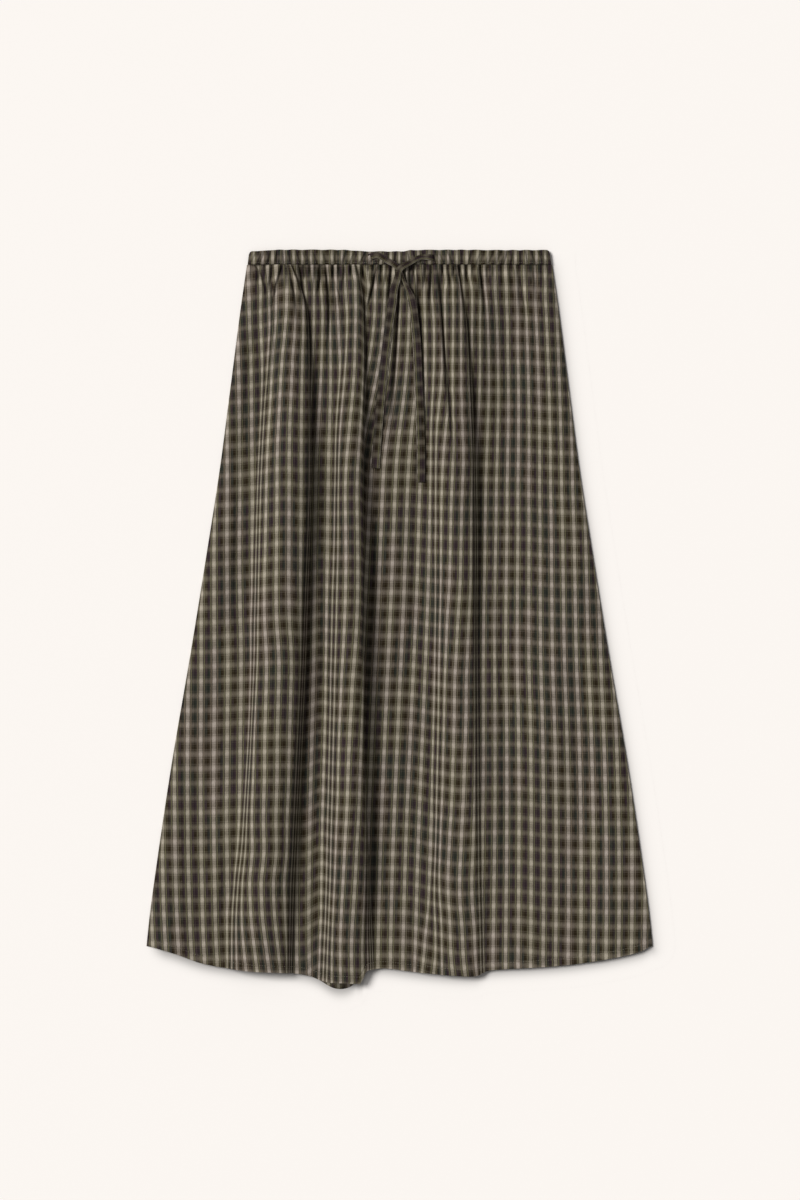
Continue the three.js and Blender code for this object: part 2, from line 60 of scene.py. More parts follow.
# %% Camera
VIEW_HEIGHT = 1392.0  # of the floor that the picture shows from top to bottom
VIEW_CENTRE = (0.6, 21.9)  # the picture's middle, beside the middle of the skirt
LENS = 100.0
SENSOR = 36.0
CAMERA_HEIGHT = LENS * VIEW_HEIGHT / SENSOR

scene = bpy.context.scene
camera_data = bpy.data.cameras.new("overhead_camera")
camera_data.lens = LENS
camera_data.sensor_width = SENSOR
camera_data.sensor_fit = "AUTO"
camera_data.clip_end = 50.0
camera = bpy.data.objects.new("overhead_camera", camera_data)
camera.location = (VIEW_CENTRE[0] * MM, VIEW_CENTRE[1] * MM, CAMERA_HEIGHT * MM)
scene.collection.objects.link(camera)
scene.camera = camera
scene.view_settings.view_transform = "Standard"
print("camera stands", round(CAMERA_HEIGHT), "mm above the table")

# %% Lamp and surround
SUN_TURN = math.radians(155)  # where the light comes from, counted from the skirt's right
SUN_HEIGHT = math.radians(45)
SUN_SPREAD = math.radians(26)  # how wide the lamp looks, which softens the shadows
SUN_POWER = 3.22
SURROUND = 0.29

sun_data = bpy.data.lights.new("studio_lamp", "SUN")
sun_data.energy = SUN_POWER
sun_data.angle = SUN_SPREAD
sun_data.color = (1.0, 0.985, 0.96)
sun = bpy.data.objects.new("studio_lamp", sun_data)
flat_part = math.cos(SUN_HEIGHT)
towards_sun = Vector((
    flat_part * math.cos(SUN_TURN), flat_part * math.sin(SUN_TURN), math.sin(SUN_HEIGHT)
))
sun.rotation_euler = towards_sun.to_track_quat("Z", "Y").to_euler()
scene.collection.objects.link(sun)

world = bpy.data.worlds.new("white_surround")
world.use_nodes = True
background = world.node_tree.nodes["Background"]
background.inputs["Color"].default_value = (1.0, 0.985, 0.965, 1.0)
background.inputs["Strength"].default_value = SURROUND
scene.world = world

# %% [markdown]
# ## A short way to write materials
# A shader is easier to read as an expression than as a net of wires. `Wire` wraps one
# output socket, and the usual operators add the Math nodes. Colours go through Mix nodes,
# because a Math node would turn them grey. `Shader` makes the material and its nodes.


# %% Wires and shaders
class Wire:
    """One output socket that can be used in sums."""

    def __init__(self, shader, socket):
        self.shader, self.socket = shader, socket

    def math(self, operation, *others):
        values = dict(enumerate((self, *others)))
        return self.shader.node("ShaderNodeMath", {"operation": operation}, values)

    def __add__(self, other):
        return self.math("ADD", other)

    def __sub__(self, other):
        return self.math("SUBTRACT", other)

    def __mul__(self, other):
        return self.math("MULTIPLY", other)

    def __truediv__(self, other):
        return self.math("DIVIDE", other)

    def __rsub__(self, other):
        return (self * -1.0) + other

    __radd__ = __add__
    __rmul__ = __mul__

    def step(self, low, high):
        """0 below low, 1 above high, smooth between."""
        settings = {"interpolation_type": "SMOOTHSTEP"}
        return self.shader.node("ShaderNodeMapRange", settings, {0: self, 1: low, 2: high})


class Shader:
    """A material whose nodes are added one call at a time."""

    def __init__(self, name, **principled):
        self.material = bpy.data.materials.new(name)
        self.material.use_nodes = True
        self.tree = self.material.node_tree
        self.surface = self.tree.nodes["Principled BSDF"]
        for socket, value in principled.items():
            label = socket.replace("_", " ").title().replace("Ior", "IOR")
            self.surface.inputs[label].default_value = value

    def node(self, kind, settings=None, values=None, out=0):
        made = self.tree.nodes.new(kind)
        for key, value in (settings or {}).items():
            if key == "stops":
                self.set_stops(made.color_ramp, value)
            else:
                setattr(made, key, value)
        for key, value in (values or {}).items():
            if isinstance(value, Wire):
                self.tree.links.new(value.socket, made.inputs[key])
            elif value is not None:
                made.inputs[key].default_value = value
        return Wire(self, made.outputs[out])

    @staticmethod
    def set_stops(ramp, stops):
        while len(ramp.elements) < len(stops):
            ramp.elements.new(1.0)
        for element, (position, colour) in zip(ramp.elements, stops):
            element.position = position
            element.color = (*colour, 1.0)

    def mix(self, factor, a, b, blend="MIX"):
        settings = {"data_type": "RGBA", "blend_type": blend}
        colours = [c if isinstance(c, Wire) else (*c, 1.0) for c in (a, b)]
        return self.node("ShaderNodeMix", settings, {0: factor, 6: colours[0], 7: colours[1]}, 2)

    def noise(self, vector, scale, detail=2.0, roughness=0.5):
        values = {"Vector": vector, "Scale": scale, "Detail": detail, "Roughness": roughness}
        return self.node("ShaderNodeTexNoise", {}, values)

    def combine(self, x, y, z=0.0):
        return self.node("ShaderNodeCombineXYZ", {}, {0: x, 1: y, 2: z})

    def uv(self, name):
        point = self.node("ShaderNodeUVMap", {"uv_map": name})
        return [self.node("ShaderNodeSeparateXYZ", {}, {0: point}, axis) for axis in (0, 1)]

    def feed(self, socket, wire):
        self.tree.links.new(wire.socket, self.surface.inputs[socket])

    def bump(self, height, distance, strength=1.0):
        values = {"Height": height, "Distance": distance, "Strength": strength}
        self.feed("Normal", self.node("ShaderNodeBump", {}, values))


# %% Table top
TABLE_WHITE = (0.955, 0.925, 0.905)
floor_look = Shader("table_white", roughness=0.8, base_color=(*TABLE_WHITE, 1.0))
floor_mesh = bpy.data.meshes.new("table")
FLOOR_HALF = 16.0  # metres from the middle of the table to its sides
FLOOR_LEVEL = -0.2  # mm, just under the cloth
floor_corners = [
    (x * FLOOR_HALF, y * FLOOR_HALF, FLOOR_LEVEL * MM)
    for x, y in ((-1, -1), (1, -1), (1, 1), (-1, 1))
]
floor_mesh.from_pydata(floor_corners, [], [(0, 1, 2, 3)])
floor_mesh.materials.append(floor_look.material)
floor = bpy.data.objects.new("table", floor_mesh)
scene.collection.objects.link(floor)

# %% [markdown]
# ## The woven check
# Where a light warp stripe crosses a light weft band the cloth is palest, and where dark
# crosses dark it is almost black. Fine threads of other browns, plums and olives run
# beside the stripes and tint them unevenly. Every cloth piece carries a UV map named
# `cloth`, in millimetres of the cut panel, so the threads follow each fold. Between tight
# gathers the real cloth is tucked in deeper than a sheet of one thickness can go, so the
# shade that falls in there is painted: an attribute darkens the colour along those crevices.

# %% Chart of the check
WARP_REPEAT = 15.3  # mm across the cloth
WEFT_REPEAT = 16.8  # mm along the cloth
# Position in the repeat and how light the threads are there, from 0 to 1. The light stripe
# lies on both sides of position 0.
WARP_CHART = [
    (0.00, 0.84), (0.03, 0.96), (0.075, 0.88), (0.105, 1.0), (0.125, 0.9), (0.145, 0.12),
    (0.195, 0.12), (0.212, 0.44), (0.275, 0.44), (0.295, 0.07), (0.36, 0.02), (0.43, 0.12),
    (0.47, 0.0), (0.58, 0.0), (0.64, 0.07), (0.705, 0.07), (0.725, 0.44), (0.788, 0.44),
    (0.805, 0.12), (0.855, 0.12), (0.875, 0.9), (0.895, 1.0), (0.925, 0.88), (0.97, 0.96),
]
WEFT_CHART = [
    (0.00, 1.0), (0.07, 1.0), (0.09, 0.8), (0.15, 0.8), (0.165, 0.5), (0.215, 0.5),
    (0.23, 0.14), (0.27, 0.14), (0.285, 0.4), (0.33, 0.4), (0.345, 0.02), (0.42, 0.0),
    (0.435, 0.14), (0.465, 0.14), (0.48, 0.0), (0.655, 0.02), (0.67, 0.4), (0.715, 0.4),
    (0.73, 0.14), (0.77, 0.14), (0.785, 0.5), (0.835, 0.5), (0.85, 0.8), (0.91, 0.8),
    (0.93, 1.0),
]
LIGHT_ON_LIGHT = (0.352, 0.312, 0.262)
LIGHT_ON_DARK = (0.190, 0.166, 0.132)
DARK_ON_LIGHT = (0.100, 0.083, 0.062)
DARK_ON_DARK = (0.0175, 0.0118, 0.0050)
PLUM = (0.0265, 0.0160, 0.0235)
SLATE = (0.0165, 0.0215, 0.0170)
OLIVE = (0.098, 0.092, 0.043)
BROWN = (0.112, 0.086, 0.052)
# painted shade: the colour that the cloth is darkened to deep in the crevices
CREVICE_SHADE_COLOUR = (0.2, 0.17, 0.14)  # what is left of the colours deep between two gathers
FIRST_BAND = 9.0  # mm from the waist seam to the middle of the first light weft band
WARP_THREAD, WEFT_THREAD = 0.62, 0.7  # mm from one thread to the next but one


# %% Check cloth
def greys(chart):
    return [(position, (value, value, value)) for position, value in chart]


def chart_wire(look, along, chart):
    """How light the threads are at a place given in repeats."""
    place = along.math("FRACT")
    return look.node("ShaderNodeValToRGB", {"stops": greys(chart)}, {0: place})


def check_shader(name, light=1.08):
    """The woven check; light scales its colours."""
    look = Shader(name, roughness=0.92, specular_ior_level=0.05)
    across, along = look.uv("cloth")
    place = look.combine(across, along)
    slub = (look.noise(place, 0.3, 1.0) - 0.5) * 0.6
    warp_at = (across + slub) / WARP_REPEAT
    weft_at = (along + slub * 1.2 - FIRST_BAND) / WEFT_REPEAT
    warp = chart_wire(look, warp_at, WARP_CHART)
    weft = chart_wire(look, weft_at, WEFT_CHART)
    stripe_number = (warp_at + 0.5).math("FLOOR")
    drift = look.noise(look.combine(stripe_number * 3.7, along * 0.011), 1.0, 1.0)
    other = look.noise(look.combine(stripe_number * 2.9 + 31.0, along * 0.008), 1.0, 1.0)
    four = (DARK_ON_DARK, DARK_ON_LIGHT, LIGHT_ON_DARK, LIGHT_ON_LIGHT)
    scaled = [tuple(light * c for c in colour) for colour in four]
    dark_dark, dark_light, light_dark, light_light = scaled
    dark_warp = look.mix(weft, dark_dark, dark_light)
    light_warp = look.mix(weft, light_dark, light_light)
    tinted = look.mix(other.step(0.47, 0.55), PLUM, SLATE)
    dark_warp = look.mix(drift.step(0.42, 0.55) * (0.85 - weft * 0.5), dark_warp, tinted)
    cloth = look.mix(warp, dark_warp, light_warp)
    beside = (warp.step(0.2, 0.4) - warp.step(0.5, 0.64)) * 0.75
    line = look.mix(other.step(0.52, 0.62), OLIVE, BROWN)
    cloth = look.mix(beside * (0.5 + 0.5 * drift.step(0.36, 0.5)), cloth, line)
    cool = look.mix(other.step(0.42, 0.62), (0.99, 1.005, 0.96), (1.005, 0.985, 1.03))
    cloth = look.mix(1.0, cloth, cool, "MULTIPLY")
    worn = look.noise(place, 0.05, 3.0)
    cloth = look.mix(1.0, cloth, look.mix(worn, (0.86, 0.86, 0.86), (1.14, 1.14, 1.14)), "MULTIPLY")
    yarn = look.noise(look.combine(across * 0.8, along * 1.7), 0.9, 2.0, 0.7).step(0.3, 0.7)
    cloth = look.mix(1.0, cloth, look.mix(yarn, (0.8, 0.8, 0.8), (1.2, 1.2, 1.2)), "MULTIPLY")
    # painted shade: the colour darkens along the crevices of the gathers and creases
    tucked = look.node("ShaderNodeAttribute", {"attribute_name": "tucked"}, {}, 2)
    cloth = look.mix(tucked, cloth, CREVICE_SHADE_COLOUR, "MULTIPLY")
    look.feed("Base Color", cloth)
    over_warp = (across * (math.tau / WARP_THREAD)).math("SINE")
    thread = over_warp * (along * (math.tau / WEFT_THREAD)).math("SINE")
    crinkle = look.noise(look.combine(across * 1.6, along), 0.11, 3.0, 0.6)
    fuzz = look.noise(place, 2.1, 2.0)
    look.bump(thread * 0.05 + crinkle * 0.9 + fuzz * 0.12, 0.0011, 0.75)
    return look.material


check_cloth = check_shader("check_cloth")
casing_cloth = check_shader("casing_cloth", light=0.98)
# painted shade: the tie is the same check, made darker for the shade it lies in
tie_cloth = check_shader("tie_cloth", light=0.82)
print("check repeats every", WARP_REPEAT, "by", WEFT_REPEAT, "mm")

# %% [markdown]
# ## The front panel's form
# The panel is gathered into the casing and lies in three large folds and many small ones.
# Its shape is worked out from tables: each fold is a row for each height, with the place
# where it rises, the two edges of its back and the place where it comes down again. These
# are the sizes that the solid panel is made from as well, so the cloth lies on its form.
# "Down" is the distance below the waist seam.

# %% Sizes of the skirt
LENGTH = 857.0
WAIST = 352.0
BAND_HEIGHT = 18.0
TOP = LENGTH / 2
SEAM = TOP - BAND_HEIGHT
CLOTH = 0.5  # thickness of the cloth itself
HEM_LEVEL = 815.0  # where the front's hem lies on the whole, below the seam
BACK_LIFT = 0.15  # the back panel's lower face above the table
EDGE_LOW = 2.2  # outer face of the front panel at its side seams
SIDE_ROLL = 26.0  # width over which the front panel comes down to its side seams


def table(names, *rows):
    """Columns of numbers by name."""
    return dict(zip(names.split(), np.array(rows, float).T))


def curve(rows, key, value):
    """A smooth curve through one column of a table, level past its ends."""
    at, height = rows[key], rows[value]
    before, after = np.r_[0, 0:len(at) - 1], np.r_[1:len(at), len(at) - 1]
    slope = (height[after] - height[before]) / (at[after] - at[before])

    def read(place):
        place = np.clip(place, at[0], at[-1])
        i = np.clip(np.searchsorted(at, place, side="right") - 1, 0, len(at) - 2)
        span = at[i + 1] - at[i]
        t = (place - at[i]) / span
        start = (t**3 - 2 * t**2 + t) * span * slope[i]
        finish = (t**3 - t**2) * span * slope[i + 1]
        return height[i] + (height[i + 1] - height[i]) * t * t * (3 - 2 * t) + start + finish

    return read


def smoothstep(value, low, high):
    t = np.clip((value - low) / (high - low), 0.0, 1.0)
    return t * t * (3 - 2 * t)


# %% Tables of the form
SIDES = table(
    "down half",
    (0, 176), (52, 183.5), (145, 195.5), (238, 207.7), (330, 222),
    (446, 240.7), (586, 264.5), (725, 285), (771, 290.6), (840, 297),
)
FRONT_HEM = table(
    "x down",
    (-293, 790), (-265, 798), (-233, 809), (-208, 814), (-173, 818), (-133, 820), (-105, 824),
    (-90, 829.5), (-80, 831.5), (-62, 832), (-50, 832.5), (-44, 832), (-41, 826), (-38.5, 819),
    (-34, 817), (-17, 815.5), (12, 819), (31, 821), (69, 824), (89, 824), (97, 820.5),
    (103, 818), (149, 815), (192, 812), (235, 806), (278, 797), (293, 790),
)
BACK_HEM = table(
    "x down",
    (-293, 790), (-208, 811), (-125, 817), (-98, 826), (-74, 839), (-55, 836), (-36, 816),
    (40, 813), (149, 812), (235, 804), (293, 790),
)
# How far the panel lies above the table at its sides and, puffed up by the gathers, between.
LEVELS = table(
    "down sides middle",
    (0, 5, 6), (20, 6.5, 13), (60, 7, 16), (150, 6.5, 14),
    (260, 6.2, 9), (400, 6.2, 6.5), (840, 5.2, 5.2),
)
PUFFED = (-165, -125, 85, 130)  # where the puffed stretch starts, is full, and ends again
# "drop" is how much lower the brink is than the crest, and "lean" is how far the cloth has
# fallen over towards the right.
LEFT_FOLD = table(
    "down foot crest brink toe height drop lean",
    (0, -150, -143, -129, -124, 2, 0, 0),
    (20, -150, -141, -120, -115, 4, 0, 0),
    (50, -152, -142, -110, -105, 6, 0, 0.5),
    (100, -158, -148, -106.5, -101, 9, 0, 1),
    (150, -163, -150, -106, -99.5, 13, 0, 2),
    (260, -171, -155, -106, -97, 20, 1, 3),
    (400, -175, -157, -112, -102, 20, 2, 2),
    (560, -180, -166, -120, -110, 18, 3, 1),
    (700, -196, -171, -127, -117, 17, 4, 1),
    (830, -226, -174, -132, -122, 10, 2, 1),
)
MIDDLE_FOLD = table(
    "down foot crest brink toe height drop lean",
    (0, -62, -58, -54, -49, 2, 0, 0),
    (30, -60, -55, -46.5, -41.5, 4, 0, 0),
    (53, -62, -55, -43.5, -39, 5, 0, 1),
    (100, -68, -58, -42.5, -37, 6, 0, 2),
    (180, -78, -65, -43, -36, 10, 0, 3),
    (260, -80, -66, -44, -37, 14, 0, 4),
    (330, -82, -66, -43, -37, 18, 0, 5),
    (400, -86, -67, -43, -37, 20, 0, 5),
    (560, -91, -69, -43, -34, 19, 0, 5),
    (700, -96, -70, -41, -29, 18, 1, 4),
    (830, -103, -75, -43, -25, 6, 0, 1),
)
RIGHT_FOLD = table(
    "down foot crest brink toe height drop lean",
    (0, 50, 55, 64, 68, 2, 0, 0),
    (20, 46, 54, 67, 72, 3, 0, 0),
    (63, 38, 48, 74, 79.5, 5, 0, 1),
    (120, 33, 46, 78, 85, 8, 0, 2),
    (180, 31, 47, 81, 89, 12, 0, 2),
    (250, 33, 49, 83, 92, 14, 0, 2),
    (320, 35, 51, 84, 94, 13, 0, 2),
    (400, 37, 53, 84, 94, 11, 0, 2),
    (560, 34, 53, 85, 95, 7, 0, 1),
    (700, 26, 47, 88, 98, 5.5, 0, 1),
    (830, 10, 34, 91, 101, 4, 0, 0),
)
FOLDS = (LEFT_FOLD, MIDDLE_FOLD, RIGHT_FOLD)
CROWN = 0.22  # how much a fold's back rises between its crest and its brink

# Soft troughs, each running from x at its upper end to its end.
TROUGHS = table(
    "start stop x end width depth",
    (5, 480, -160, -186, 13, 7), (560, 840, -232, -236, 14, 2), (660, 860, -196, -203, 10, 4),
    (70, 860, -97, -120, 5, 2), (120, 860, -33, -24, 6, 2), (80, 700, 88, 102, 5, 2),
    (380, 860, -85, -92, 12, 5), (330, 780, 118, 130, 15, 3.5), (420, 860, 204, 214, 16, 2),
    (220, 520, 17, 20, 9, 2), (350, 860, 26, 24, 28, 4), (580, 860, 34, 40, 10, 2.5),
)
# Long creases, each through three places on its way down. Light falls into a crease from
# its left, so its left bank is the steep one.
CREASES = table(
    "top top_x middle middle_x end end_x depth left right",
    (8, -127.5, 36, -121.5, 84, -117.5, 3.4, 1.4, 3.5),
    (0, -86, 30, -83, 104, -82.2, 5.0, 1.4, 5.0),
    (0, -25, 27, -31.5, 64, -39.5, 4.6, 1.3, 3.5),
    (0, -15.2, 14, -16.5, 32, -17.6, 3.0, 1.4, 3.0),
    (14, 0.5, 84, -3, 240, -11.5, 5.0, 3.0, 3.0),
    (8, 20, 100, 23, 260, 29.5, 5.0, 2.0, 4.0),
    (0, 45, 84, 50.5, 270, 70, 6.0, 1.5, 5.0),
    (0, 55.5, 16, 57.5, 38, 60, 3.0, 1.4, 3.0),
    (0, -168, 25, -156, 50, -156.5, 3.0, 1.5, 3.0),
    (38, -73.5, 50, -72.6, 60, -72.2, 1.6, 1.0, 1.8),
    (3, 91, 35, 97, 80, 94.5, 2.8, 1.3, 4.0),
    (6, 134, 34, 143, 83, 144.2, 1.9, 1.3, 3.0),
    (12, -146.5, 90, -146.8, 200, -160.5, -3.4, 1.7, 1.0),
    (14, -149.5, 90, -150, 190, -162.5, 2.2, 1.6, 1.4),
    (27, -74.5, 38, -70.5, 53, -76.3, -1.8, 1.2, 0.8),
    (300, 41.5, 400, 43.5, 560, 46, -1.2, 2.0, 0.9),
    (300, 106, 420, 110, 600, 121, -1.0, 2.2, 0.9),
)
# The gathers' valleys: where each starts at the seam, how far down it reaches, how deep and
# wide it is, and how far its lower end has moved aside.
GATHERS = table(
    "x reach depth width drift",
    (-171, 26, 1.6, 2.5, -1), (-163, 30, 2.5, 2.2, -1), (-156, 18, 3.5, 2.2, 0),
    (-147, 40, 3.0, 2.6, -5), (-136, 60, 3.0, 2.4, -14), (-131, 34, 3.0, 2.2, 3),
    (-117, 40, 4.0, 2.2, 7), (-110.5, 26, 5.0, 2.0, 2), (-104, 20, 3.0, 1.8, 1),
    (-98, 34, 2.5, 2.2, 0), (-91.3, 44, 5.0, 2.2, -3), (-77, 28, 3.5, 2.2, 0),
    (-70.5, 24, 3.0, 2.0, 0), (-64, 34, 3.0, 2.2, 0), (-57, 22, 3.5, 1.8, 1),
    (-43, 26, 3.5, 2.2, 1), (-36, 20, 2.5, 1.8, 0), (-30.5, 24, 2.5, 2.0, -1),
    (-20.5, 30, 3.0, 2.2, -2), (-9, 60, 3.0, 2.4, -5), (-2.5, 26, 4.0, 2.0, 0),
    (4, 40, 3.0, 2.2, 1), (11, 60, 3.5, 2.4, 2), (16.5, 26, 3.0, 2.0, 1),
    (29.5, 40, 3.0, 2.2, -1), (37, 60, 3.5, 2.2, -2), (50, 22, 3.0, 1.8, 1),
    (62, 26, 3.5, 2.0, 1), (69.5, 20, 3.0, 1.8, 1), (77, 28, 4.5, 2.2, 1),
    (85, 24, 2.5, 2.2, 0), (93.5, 50, 3.5, 2.2, 2), (101, 40, 2.5, 1.8, 1),
    (109.5, 24, 2.0, 2.4, 1), (118.5, 34, 1.8, 2.4, 2), (128, 44, 2.0, 2.6, 4),
    (137.5, 70, 2.6, 2.4, 4), (147, 36, 2.0, 2.6, 2), (156, 60, 2.2, 2.6, 5),
    (164.5, 30, 2.0, 2.6, 2), (171, 28, 2.6, 2.4, 3),
)
GATHER_START = 5.0
GATHER_DEPTH = 1.9

half_width = curve(SIDES, "down", "half")
front_hem = curve(FRONT_HEM, "x", "down")
back_hem = curve(BACK_HEM, "x", "down")


# %% Heights of the front panel
def rows_of(columns):
    """The rows of a table, each as a dict of plain numbers."""
    return [dict(zip(columns, row)) for row in zip(*columns.values())]


def level(x, down):
    """How far the panel lies above the table, without its folds."""
    start, full, fading, end = PUFFED
    middle = smoothstep(x, start, full) * (1 - smoothstep(x, fading, end))
    sides = curve(LEVELS, "down", "sides")(down)
    return sides + (curve(LEVELS, "down", "middle")(down) - sides) * middle


def troughs(x, down):
    """Depth of all the soft troughs at a place."""
    depth = np.zeros_like(x)
    for t in rows_of(TROUGHS):
        along = np.clip((down - t["start"]) / (t["stop"] - t["start"]), 0, 1)
        ends = smoothstep(along, 0, 0.3) * (1 - smoothstep(along, 0.75, 1))
        off = (x - t["x"] - (t["end"] - t["x"]) * along) / t["width"]
        depth += t["depth"] * ends * np.exp(-off * off)
    return depth


def bank(off, left, right):
    """The depth of a crease beside its line, from 1 to 0: steep on the left, easy on the right."""
    return np.where(off < 0, np.exp(-(off / left) ** 2), np.exp(-np.abs(off / right) ** 1.5))


def gather_place(g, down):
    """How far along each point is in a gather, from 0 to 1 and on, and where the gather lies."""
    along = down / g["reach"]
    return along, g["x"] + g["drift"] * np.clip(along, 0, 1)


def crease_place(c, down):
    """The same for a long crease, whose line bends through its three places."""
    a, b, e = c["top"], c["middle"], c["end"]
    path = (c["top_x"] * (down - b) * (down - e) / ((a - b) * (a - e))
            + c["middle_x"] * (down - a) * (down - e) / ((b - a) * (b - e))
            + c["end_x"] * (down - a) * (down - b) / ((e - a) * (e - b)))
    along = (down - a) / (e - a)
    return along, np.where(along > 1, c["end_x"], path)


def gathers(x, down):
    """Depth of all the gathers' valleys at a place."""
    depth = np.zeros_like(x)
    for g in rows_of(GATHERS):
        along, path = gather_place(g, down)
        near = 0.35 + 0.65 * smoothstep(down, 0, GATHER_START)
        spread = g["width"] * (1 + 0.8 * np.clip(along, 0, 1))
        banks = bank(x - path, 0.65 * spread, 1.5 * spread)
        depth += GATHER_DEPTH * g["depth"] * near * (1 - smoothstep(along, 0.25, 1)) * banks
    return depth


def long_creases(x, down):
    """Depth of the long creases at a place; a thin ridge counts as a negative depth."""
    depth = np.zeros_like(x)
    for c in rows_of(CREASES):
        along, path = crease_place(c, down)
        ends = smoothstep(along, -0.02, 0.12) * (1 - smoothstep(along, 0.45, 1))
        depth += c["depth"] * ends * bank(x - path, c["left"], c["right"])
    return depth


def creases(x, down):
    """Faint uneven creases that any worn cotton has, under a millimetre high."""
    lower = smoothstep(down, 40, 160)
    wave = np.sin(x / 13 + 0.7 * np.sin(down / 71)) * np.sin(down / 96 + x / 83 + 0.6)
    ripple = np.sin(x / 5.3 + 1.3 * np.sin(down / 39)) * np.sin(down / 57 + x / 31)
    return lower * (0.55 * wave + 0.22 * ripple)


# %% [markdown]
# ## The front panel as a mesh
# The columns of the mesh follow the side seams and the lines of the folds, and its rows go
# from the seam to the hem, so every crease lies along an edge loop. A fold whose cloth has
# leaned over runs back under itself, which a height alone can't do: here each column has
# both a place across and a height, and both are softened across the columns as cloth
# rounds its own bends. A coarser inner side, one thickness under the outer one and clear of
# the gathers' valleys, then gives the sheet its thickness.

# %% Columns and rows
CELLS = [36, 14, 22, 10, 68, 12, 12, 12, 110, 12, 18, 10, 84]  # between the folds' lines
ROWS = np.r_[
    np.linspace(0, 60, 36), np.linspace(62.5, 150, 36), np.linspace(156, 799, 99),
    np.linspace(801, HEM_LEVEL, 10),
] / HEM_LEVEL
HEM_FOLD = 8.5  # from the hem's edge to the stitches that hold its fold
HEM_GROOVE = 0.7  # how far those stitches draw the cloth in


def guide_lines(down):
    """Places across of the side seams and the folds' lines at each point of an array."""
    lines = [-half_width(down)]
    for fold in FOLDS:
        lean = curve(fold, "down", "lean")(down)
        shift = {"foot": 0.0, "crest": 0.0, "brink": 0.6, "toe": -1.3}
        for name, share in shift.items():
            lines.append(curve(fold, "down", name)(down) + share * lean)
    lines.append(half_width(down))
    return np.array(lines)


def soften(values, times):
    """Rounds a cross-section; its two ends stay where they are."""
    for _ in range(times):
        first, last = values[:, :1], values[:, -1:]
        padded = np.hstack([2 * first - values[:, 2:0:-1], values, 2 * last - values[:, -2:-4:-1]])
        weights = np.array([1, 4, 6, 4, 1]) / 16
        values = sum(w * padded[:, i:i + values.shape[1]] for i, w in enumerate(weights))
    return values


gap_of = np.concatenate([np.full(n, i) for i, n in enumerate(CELLS)] + [[len(CELLS) - 1]])
share_of = np.concatenate([np.arange(n) / n for n in CELLS] + [[1.0]])


def across(lines):
    """Places between the guide lines for every column."""
    column = np.arange(len(gap_of))
    if lines.ndim == 2:
        return lines[gap_of, column] * (1 - share_of) + lines[gap_of + 1, column] * share_of
    low, high = lines[gap_of, :, column].T, lines[gap_of + 1, :, column].T
    return low * (1 - share_of) + high * share_of


def fold_heights(down):
    """Height of the folds alone, column by column."""
    height = np.zeros_like(down)
    for i, fold in enumerate(FOLDS):
        top, drop = curve(fold, "down", "height")(down), curve(fold, "down", "drop")(down)
        rise, back, fall = (gap_of == 1 + 4 * i), (gap_of == 2 + 4 * i), (gap_of == 3 + 4 * i)
        crowned = top * (1 + CROWN * np.sin(np.pi * share_of)) - drop * share_of**2
        height += rise * top * smoothstep(share_of, 0, 1) + back * crowned
        height += fall * (top - drop) * (1 - share_of)
    return height


def front_grid():
    """Places across, down and up of every point of the front panel, row by row."""
    hem_x = across(guide_lines(np.full(len(gap_of), HEM_LEVEL)))
    down = ROWS[:, None] * front_hem(hem_x)[None, :]
    x = soften(across(guide_lines(down)), 2)
    z = soften(fold_heights(down), 2) + level(x, down)
    z = z - troughs(x, down) - gathers(x, down) - long_creases(x, down) + creases(x, down)
    from_hem = front_hem(hem_x)[None, :] - down
    z = z - HEM_GROOVE * np.exp(-((from_hem - HEM_FOLD) / 1.4) ** 2)
    inset = np.clip((half_width(down) - np.abs(x)) / SIDE_ROLL, 0, 1)
    roll = np.sqrt(1 - (1 - inset) ** 2)
    return x, down, EDGE_LOW + np.maximum(z - EDGE_LOW, 0.4) * roll


front_x, front_down, front_z = front_grid()
print("front panel:", front_x.shape, "points, highest", round(float(front_z.max()), 1), "mm")

# %% Painted shade in the crevices
def crevice_shade_at(x, down):
    """Painted shade: 1 along the lines of the deep gathers, creases and steep falls near the waist,
    else 0.
    """
    line = np.zeros_like(x)
    for g in rows_of(GATHERS):
        along, path = gather_place(g, down)
        deep = np.clip((g["depth"] - 1.6) / 2.4, 0, 1) * (1 - smoothstep(along, 0.3, 0.9))
        line = np.maximum(line, deep * bank(x - path, 0.8, 1.1))
    for c in rows_of(CREASES):
        along, path = crease_place(c, down)
        ends = smoothstep(along, -0.03, 0.05) * (1 - smoothstep(along, 0.35, 0.95))
        deep = np.clip((c["depth"] - 1.2) / 2.4, 0, 1) * ends
        line = np.maximum(line, deep * bank(x - path, 0.9, 1.3))
    for fold, reach in zip(FOLDS, (190, 230, 300)):
        path = curve(fold, "down", "toe")(down) - 1.5
        deep = 0.85 * (1 - smoothstep(down, 0.35 * reach, reach))
        line = np.maximum(line, deep * bank(x - path, 1.3, 1.3))
    return line * smoothstep(down, -1, 2)


front_crevice_shade = crevice_shade_at(front_x, front_down)

# %% [markdown]
# ## Where the threads run
# The panel widens from the waist to the hem, so the side seams cut across the warp, and
# more stripes come into the cloth on the way down. Between one middle thread and a side
# seam lies a known width of cut cloth. On a flat stretch it is spread evenly, a fold takes
# up more of it where the cloth stands up, and at the waist the gathers take up the same
# cloth. The weft runs level, and sags a little where a fold's back hangs lower.

